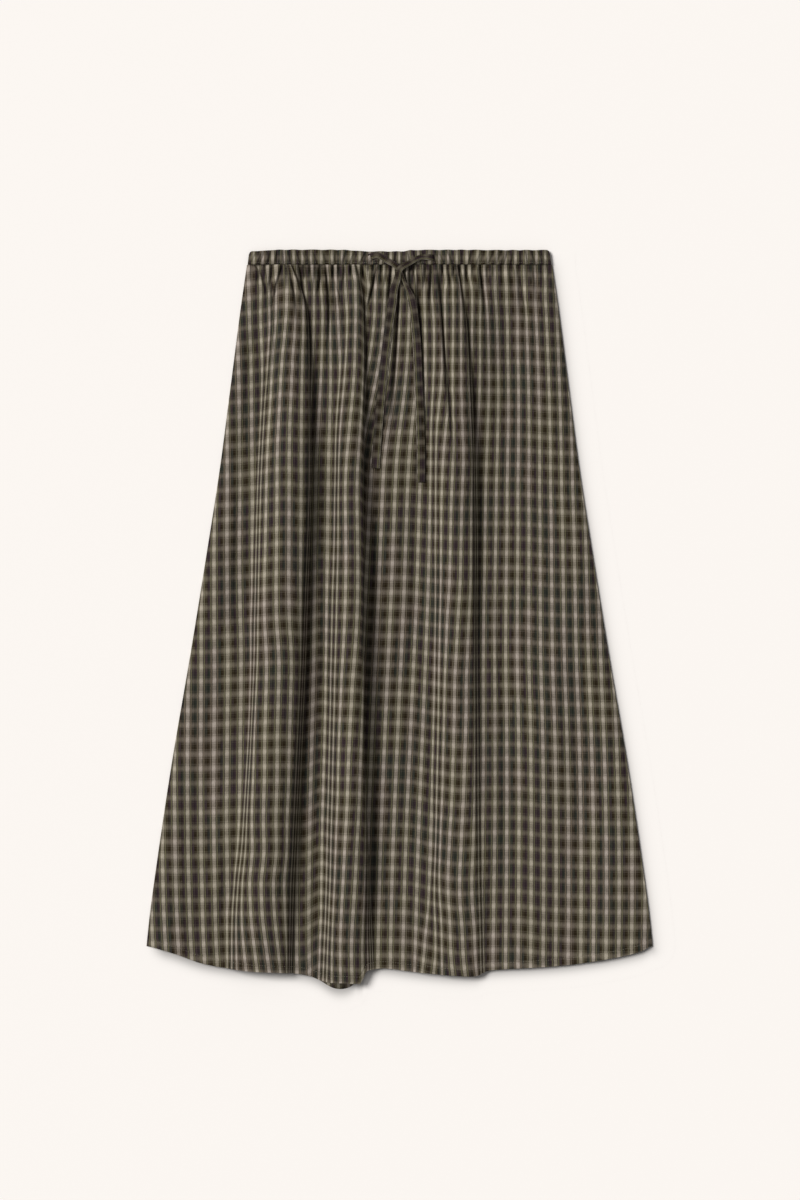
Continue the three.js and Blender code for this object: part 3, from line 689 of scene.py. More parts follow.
# %% Cloth coordinates of the front panel
# Place across of the middle thread, and the cut cloth to the left and right of it.
CUT = table(
    "down thread left right",
    (0, 28, 337, 240), (130, 30, 360, 256), (250, 24, 379, 272), (390, 19.6, 401, 292),
    (530, 13.3, 424, 312), (670, 7.3, 447, 330), (780, 4.2, 465, 345), (832, 3.5, 473, 350),
)
FOLD_CLOTH = (66.0, 78.0, 40.0)  # cloth that each fold takes up beyond its width
GATHER_CLOTH = 2.2  # cloth hidden in a gather over its depth beyond a shallow one's
SHALLOW = 1.4
HIDDEN_IN = 1.1  # half of the width of the valley that hides it
FALL_CLOTH = (13.0, 12.0, 9.0)  # cloth hidden where each fold comes down, near the waist
# How far the weft hangs below its level near the waist and near the hem.
WEFT_SAG = table(
    "x waist hem",
    (-293, 0, 5), (-231, 0, 5.5), (-191, -2, 3.5), (-160, -6, 3), (-133, -11, 4),
    (-110, -9, 5), (-92, -9, -3), (-75, -9, 0), (-46, -9.5, 1), (-38, -1, 1.5), (12, 0, 3),
    (35, 0, 9), (64, 0, 15), (82, 0, 15), (99, 1, 13), (140, 1.5, 13), (175, 3.5, 17),
    (233, 5, 19.5), (293, 6, 20),
)


def fit_to_cut(x, down, width):
    """Scales a running width of cloth so that each side of the middle thread has its cut."""
    fitted = np.empty_like(width)
    for i in range(len(x)):
        at = down[i]
        order = np.maximum.accumulate(x[i])
        middle = float(np.mean(curve(CUT, "down", "thread")(at)))
        zero = np.interp(middle, order, width[i])
        left = width[i] - zero
        share_left = curve(CUT, "down", "left")(at) / -left[0]
        share_right = curve(CUT, "down", "right")(at) / left[-1]
        fitted[i] = left * np.where(left < 0, share_left, share_right)
    return fitted


def hidden(off, along):
    """0 on the left of a valley and 1 on its right; the step widens where the gather ends."""
    width = HIDDEN_IN + 16 * smoothstep(along, 0.35, 1.5)
    return 0.5 + 0.5 * np.tanh(off / width)


def cloth_of_gathers(x, down):
    """Width of cloth counted along a gathered row: each valley hides what it takes up."""
    width = x.copy()
    for g in rows_of(GATHERS):
        along, path = gather_place(g, down)
        width += GATHER_CLOTH * max(g["depth"] - SHALLOW, 0) * hidden(x - path, along)
    for c in rows_of(CREASES):
        along, path = crease_place(c, down)
        width += 1.3 * max(c["depth"], 0) * hidden(x - path, along)
    for fold, taken in zip(FOLDS, FALL_CLOTH):
        line = (curve(fold, "down", "brink")(down) + curve(fold, "down", "toe")(down)) / 2
        width += taken * hidden(x - line, down / 260)
    return width


def cloth_across(x, down, z):
    """Warp coordinate of every point, in millimetres of flat cloth."""
    step_x = np.diff(x, axis=1, prepend=x[:, :1])
    step = np.hypot(step_x, np.diff(z, axis=1, prepend=z[:, :1]))
    lower = x - x[:, :1]
    for i, taken in enumerate(FOLD_CLOTH):
        inside = (gap_of >= 1 + 4 * i) & (gap_of <= 3 + 4 * i)
        used = np.cumsum((step - step_x) * inside, axis=1)
        share = used / np.maximum(used[:, -1:], 1e-6)
        lower = lower + taken * (0.8 + 0.2 * smoothstep(down, 150, 500)) * share
    beside = (gap_of == 0) | (gap_of == len(CELLS) - 1)
    lower = lower + 1.8 * np.cumsum((step - step_x) * beside, axis=1)
    upper = cloth_of_gathers(x, down)
    lower, upper = fit_to_cut(x, down, lower), fit_to_cut(x, down, upper)
    return upper + (lower - upper) * smoothstep(down, 20, 240)


def cloth_along(x, down):
    """Weft coordinate of every point: how far along the cut panel it is."""
    waist, hem = curve(WEFT_SAG, "x", "waist")(x), curve(WEFT_SAG, "x", "hem")(x)
    return down - waist - (hem - waist) * down / HEM_LEVEL


front_u = cloth_across(front_x, front_down, front_z)
front_v = cloth_along(front_x, front_down)
print("cloth across at the waist", round(float(np.ptp(front_u[0]))), "mm, at the hem",
      round(float(np.ptp(front_u[-1]))), "mm")


# %% Sheets from grids
def cloth_mesh(name, points, faces, u, v):
    """A mesh in metres with its cloth coordinates in a UV map, smooth on all its quads."""
    mesh = bpy.data.meshes.new(name)
    mesh.from_pydata((points * MM).tolist(), [], faces)
    layer = mesh.uv_layers.new(name="cloth")
    loops = np.zeros(len(mesh.loops), np.int32)
    mesh.loops.foreach_get("vertex_index", loops)
    flat = np.stack([np.ravel(u), np.ravel(v)], axis=-1)[loops]
    layer.data.foreach_set("uv", flat.astype(np.float32).ravel())
    mesh.polygons.foreach_set("use_smooth", [len(face) == 4 for face in faces])
    return mesh


def give_values(mesh, name, values):
    """Stores one number for each point, which a shader can read by name."""
    attribute = mesh.attributes.new(name, "FLOAT", "POINT")
    attribute.data.foreach_set("value", values.ravel().astype(np.float32))


def grid_mesh(name, x, y, z, u, v, flip=False):
    """A sheet of quads, row by row."""
    rows, columns = x.shape
    points = np.stack([x, y, z], axis=-1).reshape(-1, 3)
    number = np.arange(rows * columns).reshape(rows, columns)
    corners = [number[:-1, :-1], number[1:, :-1], number[1:, 1:], number[:-1, 1:]]
    if flip:
        corners.reverse()
    faces = np.stack(corners, axis=-1).reshape(-1, 4)
    return cloth_mesh(name, points, faces.tolist(), u, v)


def show(name, mesh, material):
    """An object at the origin that wears one material."""
    mesh.name = name
    mesh.materials.clear()
    mesh.materials.append(material)
    made = bpy.data.objects.new(name, mesh)
    scene.collection.objects.link(made)
    return made


def finished(made):
    """The object's mesh with its modifiers applied, as a plain object."""
    evaluated = made.evaluated_get(bpy.context.evaluated_depsgraph_get())
    mesh = bpy.data.meshes.new_from_object(evaluated)
    made.modifiers.clear()
    old = made.data
    made.data = mesh
    bpy.data.meshes.remove(old)
    mesh.name = made.name
    return made


def thicken(made, thickness):
    """Gives a sheet its thickness on the inner side."""
    shell = made.modifiers.new("cloth", "SOLIDIFY")
    shell.thickness = thickness * MM
    shell.offset = -1.0
    shell.use_rim = True
    return finished(made)


# %% Inner side of the front panel
INNER_COLUMNS, INNER_ROWS = 2, 3  # the inner side has one point for so many of the outer side


def surface_normals(points):
    """Upward unit normals of a grid of points."""
    normal = np.cross(np.gradient(points, axis=1), -np.gradient(points, axis=0))
    return normal / np.linalg.norm(normal, axis=2, keepdims=True)


def lowest_near(z):
    """The lowest height within one inner cell of each point, all round."""
    low = z.copy()
    for i in range(-INNER_ROWS, INNER_ROWS + 1):
        for j in range(-INNER_COLUMNS, INNER_COLUMNS + 1):
            low = np.minimum(low, np.roll(z, (i, j), (0, 1)))
    low[:INNER_ROWS], low[-INNER_ROWS:] = z[:INNER_ROWS], z[-INNER_ROWS:]
    low[:, :INNER_COLUMNS], low[:, -INNER_COLUMNS:] = z[:, :INNER_COLUMNS], z[:, -INNER_COLUMNS:]
    return low


def inner_points(outer, down):
    """The inner side: one thickness under the outer one, and clear of every gather's valley."""
    under = outer - surface_normals(outer) * CLOTH
    gathered = 1 - smoothstep(down, 120, 200)
    clear = lowest_near(outer[..., 2]) - CLOTH
    under[..., 2] = under[..., 2] * (1 - gathered) + np.minimum(under[..., 2], clear) * gathered
    under[0, :, 2] = np.minimum(under[0, :, 2], lowest_near(outer[..., 2])[INNER_ROWS] - CLOTH)
    under[..., 2] = np.maximum(under[..., 2], BACK_LIFT + CLOTH + 0.1)
    return under[::INNER_ROWS, ::INNER_COLUMNS]


def rim_faces(outer, inner, step):
    """Faces between one edge of the outer side and the same edge of the inner side."""
    faces = []
    for i in range(len(inner) - 1):
        faces.append([*outer[i * step:(i + 1) * step + 1], inner[i + 1], inner[i]])
    return faces


def sheet_with_inner_side(name, outer, inner, u, v, tucked):
    """A closed thin sheet: a fine outer side, a coarser inner side and the rim between them."""
    rows, columns = outer.shape[:2]
    top = np.arange(rows * columns).reshape(rows, columns)
    bottom = top.size + np.arange(inner.shape[0] * inner.shape[1]).reshape(inner.shape[:2])
    upright = [top[:-1, :-1], top[1:, :-1], top[1:, 1:], top[:-1, 1:]]
    faces = np.stack(upright, -1).reshape(-1, 4).tolist()
    turned = [bottom[:-1, :-1], bottom[:-1, 1:], bottom[1:, 1:], bottom[1:, :-1]]
    faces += np.stack(turned, -1).reshape(-1, 4).tolist()
    faces += [face[::-1] for face in rim_faces(top[0], bottom[0], INNER_COLUMNS)][::-1]
    faces += rim_faces(top[-1], bottom[-1], INNER_COLUMNS)
    faces += rim_faces(top[:, 0], bottom[:, 0], INNER_ROWS)
    faces += [face[::-1] for face in rim_faces(top[:, -1], bottom[:, -1], INNER_ROWS)]
    points = np.vstack([outer.reshape(-1, 3), inner.reshape(-1, 3)])
    coarse = (slice(None, None, INNER_ROWS), slice(None, None, INNER_COLUMNS))
    both = [np.concatenate([t.ravel(), t[coarse].ravel()]) for t in (u, v)]
    mesh = cloth_mesh(name, points, faces, *both)
    # the outer side carries the painted crevice shade, the inner side none
    give_values(mesh, "tucked", np.concatenate([tucked.ravel(), np.zeros(bottom.size)]))
    return mesh


front_points = np.stack([front_x, SEAM - front_down, front_z], axis=-1)
front_inner = inner_points(front_points, front_down)
front_mesh = sheet_with_inner_side(
    "front_cloth", front_points, front_inner, front_u, front_v, front_crevice_shade
)
front_cloth = show("front_cloth", front_mesh, check_cloth)
print("front cloth:", len(front_cloth.data.polygons), "faces")

# %% [markdown]
# ## The back panel
# It lies hidden under the front one and is made flat, without folds. It touches the table
# everywhere but in its gathers, which arch up a little just below the casing.

# %% Back panel
BACK_COLUMNS = 240
BACK_ROWS = np.r_[np.linspace(0, 100, 34), np.linspace(108, HEM_LEVEL, 60)] / HEM_LEVEL


def back_grid():
    """Places across, down and up of every point of the back panel."""
    side = np.linspace(-1, 1, BACK_COLUMNS)
    down = BACK_ROWS[:, None] * back_hem(side * 293)[None, :]
    x = side[None, :] * half_width(down)
    ribs = 0.5 + 0.5 * np.cos(x / 1.55 + 0.8 * np.sin(x / 17))
    arch = 1.1 * ribs * (1 - smoothstep(down, 8, 95)) * smoothstep(half_width(down) - np.abs(x), 0, 6)
    return x, down, BACK_LIFT + arch


back_x, back_down, back_z = back_grid()
take_up = 1 + 0.62 * (1 - smoothstep(back_down, 0, 320)) + 0.3
back_mesh = grid_mesh(
    "back_cloth", back_x, SEAM - back_down, back_z, back_x * take_up, back_down, flip=True
)
back_cloth = thicken(show("back_cloth", back_mesh, check_cloth), CLOTH)

# %% [markdown]
# ## The side seams
# At its sides the flattened skirt turns over from the front to the back in a soft roll a
# couple of millimetres high. A half round sheet along each side closes the two panels, and
# it goes on counting the threads of the front one, so the check runs round the edge.

# %% Side seams
ROLL = 0.9  # how far the roll stands out beyond the front panel's edge


def side_seam(name, sign):
    """The roll of cloth along one side: sign is 1 on the right and -1 on the left."""
    edge = -1 if sign > 0 else 0
    x, down, high = (grid[:, edge, None] for grid in (front_x, front_down, front_z))
    turn = np.linspace(0, np.pi, 9)[None, :]
    middle, radius = (high + BACK_LIFT) / 2, (high - BACK_LIFT) / 2
    around = sign * radius * turn
    mesh = grid_mesh(
        name, x + sign * ROLL * np.sin(turn), SEAM - down + 0 * turn, middle + radius * np.cos(turn),
        front_u[:, edge, None] + around, front_v[:, edge, None] + 0 * turn, flip=sign < 0
    )
    return thicken(show(name, mesh, check_cloth), CLOTH)


left_seam, right_seam = side_seam("left_side_seam", -1), side_seam("right_side_seam", 1)
print("side seams:", round(float(front_z[0, 0] - BACK_LIFT), 1), "mm high")

# %% [markdown]
# ## Shade on the table
# The lamp is wide and the studio is bright all round, so beside the edges that face away
# from the lamp the table only darkens softly. A strip that follows the outline carries this
# shade as an attribute, strongest at the cloth. It belongs to the table, not to the skirt.

# %% Shade strip
SHADE = 0.5  # how much darker the table is right at the edge
SHADE_STEPS = np.array([-6, 0, 1, 2.2, 3.6, 5.2, 7, 9, 11.5, 14.5, 18, 22, 27])
SHADE_OVER_TABLE = 0.08
SHADE_BESIDE, SHADE_BELOW = 4.5, 9.0  # how far the shade reaches at the side and at the hem


def shade_strip():
    """Points and shade of a strip down the right side, round the corner and along the hem."""
    side_down = np.linspace(-14, 789, 90)
    corner = np.linspace(0, 1, 12)[1:-1]
    hem_at = np.linspace(292.5, -293, 170)
    hem_down = np.maximum(front_hem(hem_at), back_hem(hem_at))
    angle = np.concatenate([np.zeros(90), -corner * np.pi / 2, np.full(170, -np.pi / 2)])[:, None]
    x = np.concatenate([half_width(side_down) + ROLL, np.full(10, hem_at[0]), hem_at])[:, None]
    down = np.concatenate([side_down, np.full(10, hem_down[0]), hem_down])[:, None]
    away = SHADE_STEPS[None, :]
    beside = np.exp(-np.maximum(away, 0) / SHADE_BESIDE)
    below = np.exp(-(np.maximum(away, 0) / SHADE_BELOW) ** 2) * smoothstep(x, -293, -270)
    turned = -angle / (np.pi / 2)
    shade = (beside * (1 - turned) + below * turned) * smoothstep(down, -14, 10)
    last = away / away.max()
    shade = shade * (1 - smoothstep(last, 0.7, 1.0))
    return x + away * np.cos(angle), SEAM - down + away * np.sin(angle), shade


shade_x, shade_y, shade = shade_strip()
shade_z = np.full_like(shade, FLOOR_LEVEL + SHADE_OVER_TABLE)
shade_mesh = grid_mesh("table_shade", shade_x, shade_y, shade_z, shade, shade)
give_values(shade_mesh, "shade", shade)
shade_look = Shader("table_in_shade", roughness=0.8)
shaded = shade_look.node("ShaderNodeAttribute", {"attribute_name": "shade"}, {}, 2)
shade_look.feed("Base Color", shade_look.mix(shaded * SHADE, TABLE_WHITE, (0.0, 0.0, 0.0)))
table_shade = show("table_shade", shade_mesh, shade_look.material)
print("shade strip:", shade.shape, "points, darkest", round(float(shade.max() * SHADE), 2))

# %% [markdown]
# ## The casing
# The waistband is a tube of the same cloth with an elastic inside. The elastic has drawn
# it up into uneven upright ribs. Each half is a flat tube, lofted along the waist: the
# ribs stand out of its outer face, and its top edge is a fold.

# %% Waistband
BAND_WALL = 2.4
SEAM_GAP = 0.3
FRONT_UNDER = BAND_WALL + SEAM_GAP  # height of the front half's lower face
RIB = 2.2
RIB_COUNT = 36
BAND_COLUMNS = 440
BAND_CORNER = 4.0
BAND_TAKE_UP = 1.36  # cut length of the casing over its relaxed length
BAND_NARROWING = 0.012  # how much shorter the top edge is than the seam
# How far the top edge dips.
TOP_DIPS = table(
    "x dip",
    (-176, 1.4), (-158, 1.2), (-148, 0.2), (-100, 0.0), (-62, 0.3), (-44, 1.7), (-20, 1.9),
    (5, 1.7), (14, 0.5), (70, 0.1), (120, 0.4), (176, 0.3),
)


def rib_height(x, up):
    """0 in the creases and 1 on the ribs; the ribs lean a little as they go up."""
    turn = ((x + 0.5 * up * np.sin(x / 23)) / WAIST + 0.5) * RIB_COUNT
    uneven = 0.35 * np.sin(1.7 * turn) + 0.2 * np.sin(0.61 * turn + 1)
    fine = 0.18 * np.sin(2 * np.pi * turn * 2.3 + 2 * np.sin(turn))
    return 0.5 + 0.5 * np.cos(2 * np.pi * turn + uneven) + fine


def band_grid(under, rib):
    """Rings of the flat tube, each from the bottom of its face over the top to the back."""
    face = under + BAND_WALL
    x = np.linspace(-WAIST / 2, WAIST / 2, BAND_COLUMNS)
    inset = np.clip((WAIST / 2 - np.abs(x)) / BAND_CORNER, 0, 1)
    top = BAND_HEIGHT - BAND_CORNER * (1 - np.sqrt(1 - (1 - inset) ** 2))
    top = top - curve(TOP_DIPS, "x", "dip")(x) - 0.25 * np.sin(x / 3.1 + np.sin(x / 11))
    outer = np.linspace(0, 1, 15)
    rings_up = [outer * 1.0, np.array([1.02, 1.02, 1.0]), np.linspace(0.9, 0, 5)]
    up = np.concatenate(rings_up)[:, None] * (top - 1.2)[None, :] + 0.2
    depth = np.concatenate([np.ones(15), [0.72, 0.3, 0.06], np.zeros(5)])[:, None]
    belly = np.concatenate([np.sin(np.pi * (0.06 + 0.88 * outer)) ** 0.5, np.zeros(8)])[:, None]
    ribs = rib * rib_height(x[None, :], up) * belly * smoothstep(inset, 0, 1)[None, :]
    wall = (face - under) * depth * (0.82 + 0.18 * np.maximum(belly, 0.3)) + ribs
    at_end = 0.35 + 0.65 * smoothstep(WAIST / 2 - np.abs(x), 0, 13)[None, :]
    narrowed = x[None, :] * (1 - BAND_NARROWING * np.clip(up / BAND_HEIGHT, 0, 1))
    return narrowed, up, under + wall * at_end


def close_tube(mesh, weld=False):
    """Fills the open ends of a tube and turns its faces outward."""
    tube = bmesh.new()
    tube.from_mesh(mesh)
    if weld:
        bmesh.ops.remove_doubles(tube, verts=tube.verts, dist=1e-6)
    bmesh.ops.holes_fill(tube, edges=[e for e in tube.edges if e.is_boundary])
    bmesh.ops.recalc_face_normals(tube, faces=tube.faces)
    tube.to_mesh(mesh)
    tube.free()


def band_piece(name, under, rib):
    """Half of the casing, as a closed flat tube."""
    x, up, z = band_grid(under, rib)
    step_up = np.diff(up, axis=0, prepend=up[:1])
    step_out = np.diff(z, axis=0, prepend=z[:1])
    around = np.cumsum(np.hypot(step_up, step_out), axis=0)
    stretch = BAND_TAKE_UP * x + 1.6 * np.sin(x / 9)
    mesh = grid_mesh(name, x, SEAM + up, z, stretch, -around, flip=True)
    close_tube(mesh)
    return show(name, mesh, casing_cloth)


front_casing = band_piece("front_casing", FRONT_UNDER, RIB)
back_casing = band_piece("back_casing", 0.1, 0.0)
print("casing:", RIB_COUNT, "ribs on", round(WAIST), "mm")

# %% [markdown]
# ## The tie
# The tie is a flat strip, folded and stitched along both edges. Each strand comes out of
# its slit in the casing, the two cross once at the middle and hang down the front. Their
# routes are the ones that the solid strips follow. Between the gathers a strip doesn't sink
# in: it rests on the crests, so its height comes from the highest cloth under its width.

# %% Routes of the tie
TIE_WIDTH = 9.5
TIE_WALL = 1.3
LEFT_ROUTE = [
    (-35.4, 419.2), (-24.9, 421), (-13.3, 414.4), (-4, 408.7),
    (2.3, 399), (5.8, 389), (11.5, 377.3), (15.5, 362),
    (18.1, 341), (20.3, 316), (22, 276.4), (23.8, 235.8),
    (24.9, 195.2), (24.9, 158.1),
]
RIGHT_ROUTE = [
    (40, 418), (30.7, 419), (22.6, 418.2), (10.4, 411.4),
    (0.6, 405), (-2.9, 392.4), (-6.3, 380.7), (-8.2, 364.6),
    (-12, 339.7), (-15, 318), (-18.6, 285), (-21.9, 250),
    (-25.2, 212.6), (-27.8, 174.3),
]
CROSSING = (0.4, 404.5)


def along_route(route, count):
    """Evenly spaced points on a smooth curve through the route."""
    points = np.array(route)
    padded = np.vstack([2 * points[0] - points[1], points, 2 * points[-1] - points[-2]])
    t = np.linspace(0, 1, 24, endpoint=False)[:, None]
    fine = []
    for a, b, c, d in zip(padded, padded[1:], padded[2:], padded[3:]):
        fine.append(0.5 * (2 * b + (c - a) * t + (2 * a - 5 * b + 4 * c - d) * t**2
                           + (3 * b - 3 * c + d - a) * t**3))
    fine = np.vstack([*fine, points[-1]])
    run = np.r_[0, np.cumsum(np.hypot(*np.diff(fine, axis=0).T))]
    even = np.linspace(0, run[-1], count)
    return np.stack([np.interp(even, run, fine[:, i]) for i in (0, 1)], axis=1), even


def tree_of(made):
    """A search tree of an object's faces, to feel for its height from above."""
    grid = bmesh.new()
    grid.from_mesh(made.data)
    tree = BVHTree.FromBMesh(grid)
    grid.free()
    return tree


skirt_trees = [tree_of(front_cloth), tree_of(front_casing)]


def height_at(x, y):
    """Height in millimetres of the cloth under a place."""
    found = [0.0]
    for tree in skirt_trees:
        hit = tree.ray_cast(Vector((x * MM, y * MM, 0.2)), Vector((0, 0, -1)))[0]
        if hit is not None:
            found.append(hit.z / MM)
    return max(found)


def resting_heights(flat, width):
    """Height under a strip along its middle line, bridged over the dips between crests."""
    tangent = np.gradient(flat, axis=0)
    side = np.stack([-tangent[:, 1], tangent[:, 0]], axis=1)
    side /= np.linalg.norm(side, axis=1, keepdims=True)
    offsets = np.linspace(-0.5, 0.5, 5) * width
    probes = flat[:, None, :] + offsets[None, :, None] * side[:, None, :]
    heights = np.array([[height_at(*p) for p in row] for row in probes])
    highest = heights.max(axis=1)
    reach = np.array([highest[max(i - 3, 0):i + 4].max() for i in range(len(highest))])
    return soften(reach[None, :], 6)[0]


# %% Strands of the tie
TIE_POINTS = 150
# The strip's section: place across its width and height, thinner at its stitched lines.
TIE_SECTION = [
    (-1.0, 0.0), (-0.975, 0.38), (-0.88, 0.46), (-0.79, 0.38), (-0.68, 0.46), (-0.3, 0.5),
    (0.3, 0.5), (0.68, 0.46), (0.79, 0.38), (0.88, 0.46), (0.975, 0.38), (1.0, 0.0),
]
PUCKER, PUCKER_PITCH = 0.12, 3.1  # how much and how often the stitches draw up the edges
EDGE_FROM = 0.7  # where the edge starts, as a share of half the width
FIRST_WARP = (6.2, 9.2)  # mm of the check at the middle of the left and the right strand


def strand_path(route, over):
    """A strand's middle line: over is 1 for the one that passes on top, else 0."""
    flat, run = along_route(route, TIE_POINTS)
    around = [(dx, dy) for dx in (-9, 0, 9) for dy in (-9, 0, 9)]
    knot = max(height_at(CROSSING[0] + dx, CROSSING[1] + dy) for dx, dy in around)
    away = np.hypot(flat[:, 0] - CROSSING[0], flat[:, 1] - CROSSING[1])
    near = 1 - smoothstep(away, 10, 28)
    rest = np.maximum(resting_heights(flat, TIE_WIDTH), knot * near)
    z = rest + TIE_WALL / 2 + 0.1 + over * (TIE_WALL + 0.3) * near
    dive = 1 - smoothstep(run, 0, 5)
    return np.column_stack([flat, z - 2.4 * dive]), run


# How much of its width a strand keeps where it is crumpled, from its slit past the crossing.
LEFT_CRUMPLE = table(
    "run share", (0, 0.8), (12, 0.68), (36, 0.66), (48, 0.42), (60, 0.42), (78, 1.0)
)
RIGHT_CRUMPLE = table("run share", (0, 0.8), (14, 0.62), (40, 0.68), (60, 0.86), (84, 1.0))


def strand(name, route, over):
    """A strand with its middle line, its length, and where its side and its top point."""
    path, run = strand_path(route, over)
    crumple = curve((LEFT_CRUMPLE, RIGHT_CRUMPLE)[over], "run", "share")(run)[:, None]
    tangent = np.gradient(path, axis=0)
    tangent /= np.linalg.norm(tangent, axis=1, keepdims=True)
    side = np.cross(np.array([0, 0, 1.0]), tangent)
    side /= np.linalg.norm(side, axis=1, keepdims=True)
    tilt = np.radians(5) * np.sin(run / 41 + over) * smoothstep(run, 20, 60)
    side = side * np.cos(tilt)[:, None] + np.array([0, 0, 1.0]) * np.sin(tilt)[:, None]
    up = np.cross(tangent, side)
    pucker = 1 + PUCKER * np.sin(run * math.tau / PUCKER_PITCH)[:, None]
    top = np.array(TIE_SECTION)
    section = np.vstack([top, top[-2:0:-1] * [1, -1]])
    place = section[:, 0] * TIE_WIDTH / 2
    rise = section[:, 1] * TIE_WALL
    close = np.minimum(1, np.maximum(run[-1] - run, 0.0) / 1.2 + 0.25)[:, None]
    points = path[:, None, :] + side[:, None, :] * (place[None, :] * crumple)[:, :, None]
    at_edge = np.abs(section[:, 0]) > EDGE_FROM
    lift = rise * np.where(at_edge, pucker, 1) * close
    points = points + up[:, None, :] * lift[:, :, None]
    u = np.broadcast_to(place, points.shape[:2]) + FIRST_WARP[over]
    v = np.broadcast_to(run[:, None], points.shape[:2])
    ring, u, v = [np.concatenate([t, t[:, :1]], axis=1) for t in (points, u, v)]
    mesh = grid_mesh(name, ring[..., 0], ring[..., 1], ring[..., 2], u, v)
    close_tube(mesh, weld=True)
    return show(name, mesh, tie_cloth), path, run[-1], side * crumple, up


left_strand, left_path, left_length, left_side, left_up = strand("left_strand", LEFT_ROUTE, 0)
right_strand, right_path, right_length, right_side, right_up = strand("right_strand", RIGHT_ROUTE, 1)
print("strands:", round(left_length), "and", round(right_length), "mm")

# %% [markdown]
# ## Sewing
# A row of stitches follows a line, so Geometry Nodes lay it: the line becomes a curve, the
# curve is divided at the stitch length, and one small thread shape is set on each point
# and turned along the curve. The same tree sews the casing, the hems and the tie.

# %% Thread
def thread_shader(name, dark, light):
    """Twisted sewing thread between two browns."""
    look = Shader(name, roughness=0.6)
    place = look.node("ShaderNodeTexCoord", {}, {}, 3)
    x, y = [look.node("ShaderNodeSeparateXYZ", {}, {0: place}, i) for i in (0, 1)]
    look.bump(((x + y) * 9000.0).math("SINE"), 0.0001, 0.4)
    look.feed("Base Color", look.mix(look.noise(look.combine(x, y), 300.0), dark, light))
    return look


thread_look = thread_shader("sewing_thread", (0.13, 0.115, 0.085), (0.24, 0.215, 0.165))
tie_thread = thread_shader("tie_thread", (0.05, 0.042, 0.03), (0.12, 0.105, 0.08))


# %% Stitch tree
def stitch_tree():
    """Geometry Nodes that set one thread on each stitch of a line."""
    tree = bpy.data.node_groups.new("stitches", "GeometryNodeTree")
    face = tree.interface
    face.new_socket("Geometry", in_out="INPUT", socket_type="NodeSocketGeometry")
    for name, value in (("Pitch", 2.6), ("Stitch length", 2.0), ("Thread", 0.35)):
        face.new_socket(name, in_out="INPUT", socket_type="NodeSocketFloat").default_value = value
    face.new_socket("Material", in_out="INPUT", socket_type="NodeSocketMaterial")
    face.new_socket("Geometry", in_out="OUTPUT", socket_type="NodeSocketGeometry")

    def node(kind, **settings):
        made = tree.nodes.new(kind)
        for key, value in settings.items():
            setattr(made, key, value)
        return made

    given = node("NodeGroupInput")
    line = node("GeometryNodeMeshToCurve")
    spaced = node("GeometryNodeResampleCurve", mode="LENGTH")
    ball = node("GeometryNodeMeshUVSphere")
    for socket, value in (("Segments", 6), ("Rings", 4), ("Radius", 0.5)):
        ball.inputs[socket].default_value = value
    tangent = node("GeometryNodeInputTangent")
    turn = node("FunctionNodeAlignRotationToVector", axis="X")
    size = node("ShaderNodeCombineXYZ")
    place = node("GeometryNodeInstanceOnPoints")
    real = node("GeometryNodeRealizeInstances")
    wear = node("GeometryNodeSetMaterial")
    result = node("NodeGroupOutput")
    joined = (
        (given, "Geometry", line, "Mesh"), (line, "Curve", spaced, "Curve"),
        (given, "Pitch", spaced, "Length"), (spaced, "Curve", place, "Points"),
        (ball, "Mesh", place, "Instance"), (tangent, "Tangent", turn, "Vector"),
        (turn, "Rotation", place, "Rotation"), (given, "Stitch length", size, "X"),
        (given, "Thread", size, "Y"), (given, "Thread", size, "Z"),
        (size, "Vector", place, "Scale"), (place, "Instances", real, "Geometry"),
        (real, "Geometry", wear, "Geometry"), (given, "Material", wear, "Material"),
        (wear, "Geometry", result, "Geometry"),
    )
    for a, out, b, into in joined:
        tree.links.new(a.outputs[out], b.inputs[into])
    return tree


STITCHES = stitch_tree()


def sew(name, lines, pitch=2.6, length=2.0, thread=0.4, material=None):
    """Stitches along polylines given in millimetres, as one plain mesh in metres."""
    points, edges = [], []
    for line in lines:
        start = len(points)
        points.extend((np.asarray(line) * MM).tolist())
        edges.extend((start + i, start + i + 1) for i in range(len(line) - 1))
    mesh = bpy.data.meshes.new(name)
    mesh.from_pydata(points, edges, [])
    made = bpy.data.objects.new(name, mesh)
    scene.collection.objects.link(made)
    modifier = made.modifiers.new("stitches", "NODES")
    modifier.node_group = STITCHES
    given = {"Pitch": pitch * MM, "Stitch length": length * MM, "Thread": thread * MM,
             "Material": material or thread_look.material}
    for item in STITCHES.interface.items_tree:
        if item.in_out == "INPUT" and item.name in given:
            modifier[item.identifier] = given[item.name]
    finished(made)
    made.data.materials.clear()
    made.data.materials.append(given["Material"])
    return made


# %% Rows of stitches
def grid_line(row, lift):
    """A line across the front panel at one of its rows, raised off the cloth."""
    return np.column_stack([front_x[row], SEAM - front_down[row], front_z[row] + lift])


def band_line(up):
    """A line along the front half of the casing, at a height above the seam."""
    x, ups, z = band_grid(FRONT_UNDER, RIB)
    i = int(np.argmin(np.abs(ups[:15, BAND_COLUMNS // 2] - up)))
    return np.column_stack([x[i], SEAM + ups[i], z[i] + 0.05])[6:-6]


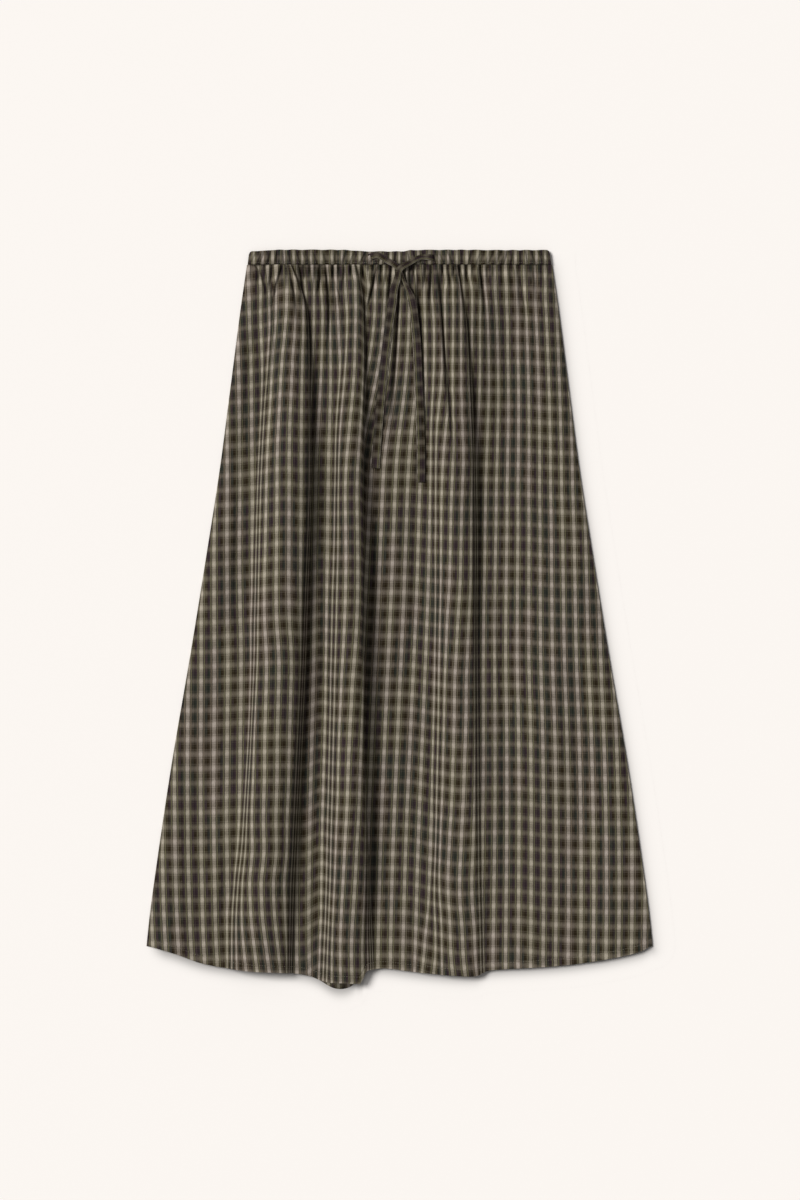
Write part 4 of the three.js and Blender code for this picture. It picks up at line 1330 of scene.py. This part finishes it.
def strip_line(path, side, up, place):
    """A line along a strand, beside its middle line and on its upper face."""
    inner = path + side * place + up * (0.4 * TIE_WALL)
    return inner[4:-2]


casing_stitches = sew("casing_stitches", [band_line(2.2)], 2.7, 2.1, 0.42)
hem_stitches = sew("hem_stitches", [grid_line(-6, 0.1)], 2.9, 2.2, 0.4)
EDGE = 0.385 * TIE_WIDTH


def sew_strand(name, path, side, up):
    """Two rows of fine stitches, one along each edge of a strand."""
    lines = [strip_line(path, side, up, s * EDGE) for s in (-1, 1)]
    return sew(name, lines, 2.3, 1.8, 0.24, tie_thread.material)


left_stitches = sew_strand("left_strand_stitches", left_path, left_side, left_up)
right_stitches = sew_strand("right_strand_stitches", right_path, right_side, right_up)
print("hem stitches:", len(hem_stitches.data.polygons), "faces")

# %% [markdown]
# ## Fitting the pieces to the frame
# Each piece rides on the one body of the skirt, and the solids that the cloth pieces stand
# for are hidden. The front panel's flat size is the cloth that its folds and gathers take
# up. The back's real cut isn't known: its size is chosen narrower to go with a panel made
# flat, though a maker would cut both alike.

# %% Ride on the body and hide the solids
REPLACED = (
    ("front_panel", front_cloth, "check_cloth"),
    ("back_panel", back_cloth, "check_cloth"),
    ("waistband_front", front_casing, "ruched_casing"),
    ("waistband_back", back_casing, "ruched_casing"),
    ("tie_left", left_strand, "tie_cloth"),
    ("tie_right", right_strand, "tie_cloth"),
)
for node, made, slot in REPLACED:
    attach(made, "root")
    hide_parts(node)
SEWN_ON = (
    (left_seam, "check_cloth"), (right_seam, "check_cloth"),
    (casing_stitches, "ruched_casing"), (hem_stitches, "check_cloth"),
    (left_stitches, "tie_cloth"), (right_stitches, "tie_cloth"),
)
for made, slot in SEWN_ON:
    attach(made, "root")


def declare_strand(path, length):
    """Points along a strand's middle line and its length, in metres; nothing is done with them."""
    points = [tuple(float(c) for c in p * MM) for p in path[::5]]
    points.append(tuple(float(c) for c in path[-1] * MM))
    float(length * MM)


declare_strand(left_path, left_length)
declare_strand(right_path, right_length)
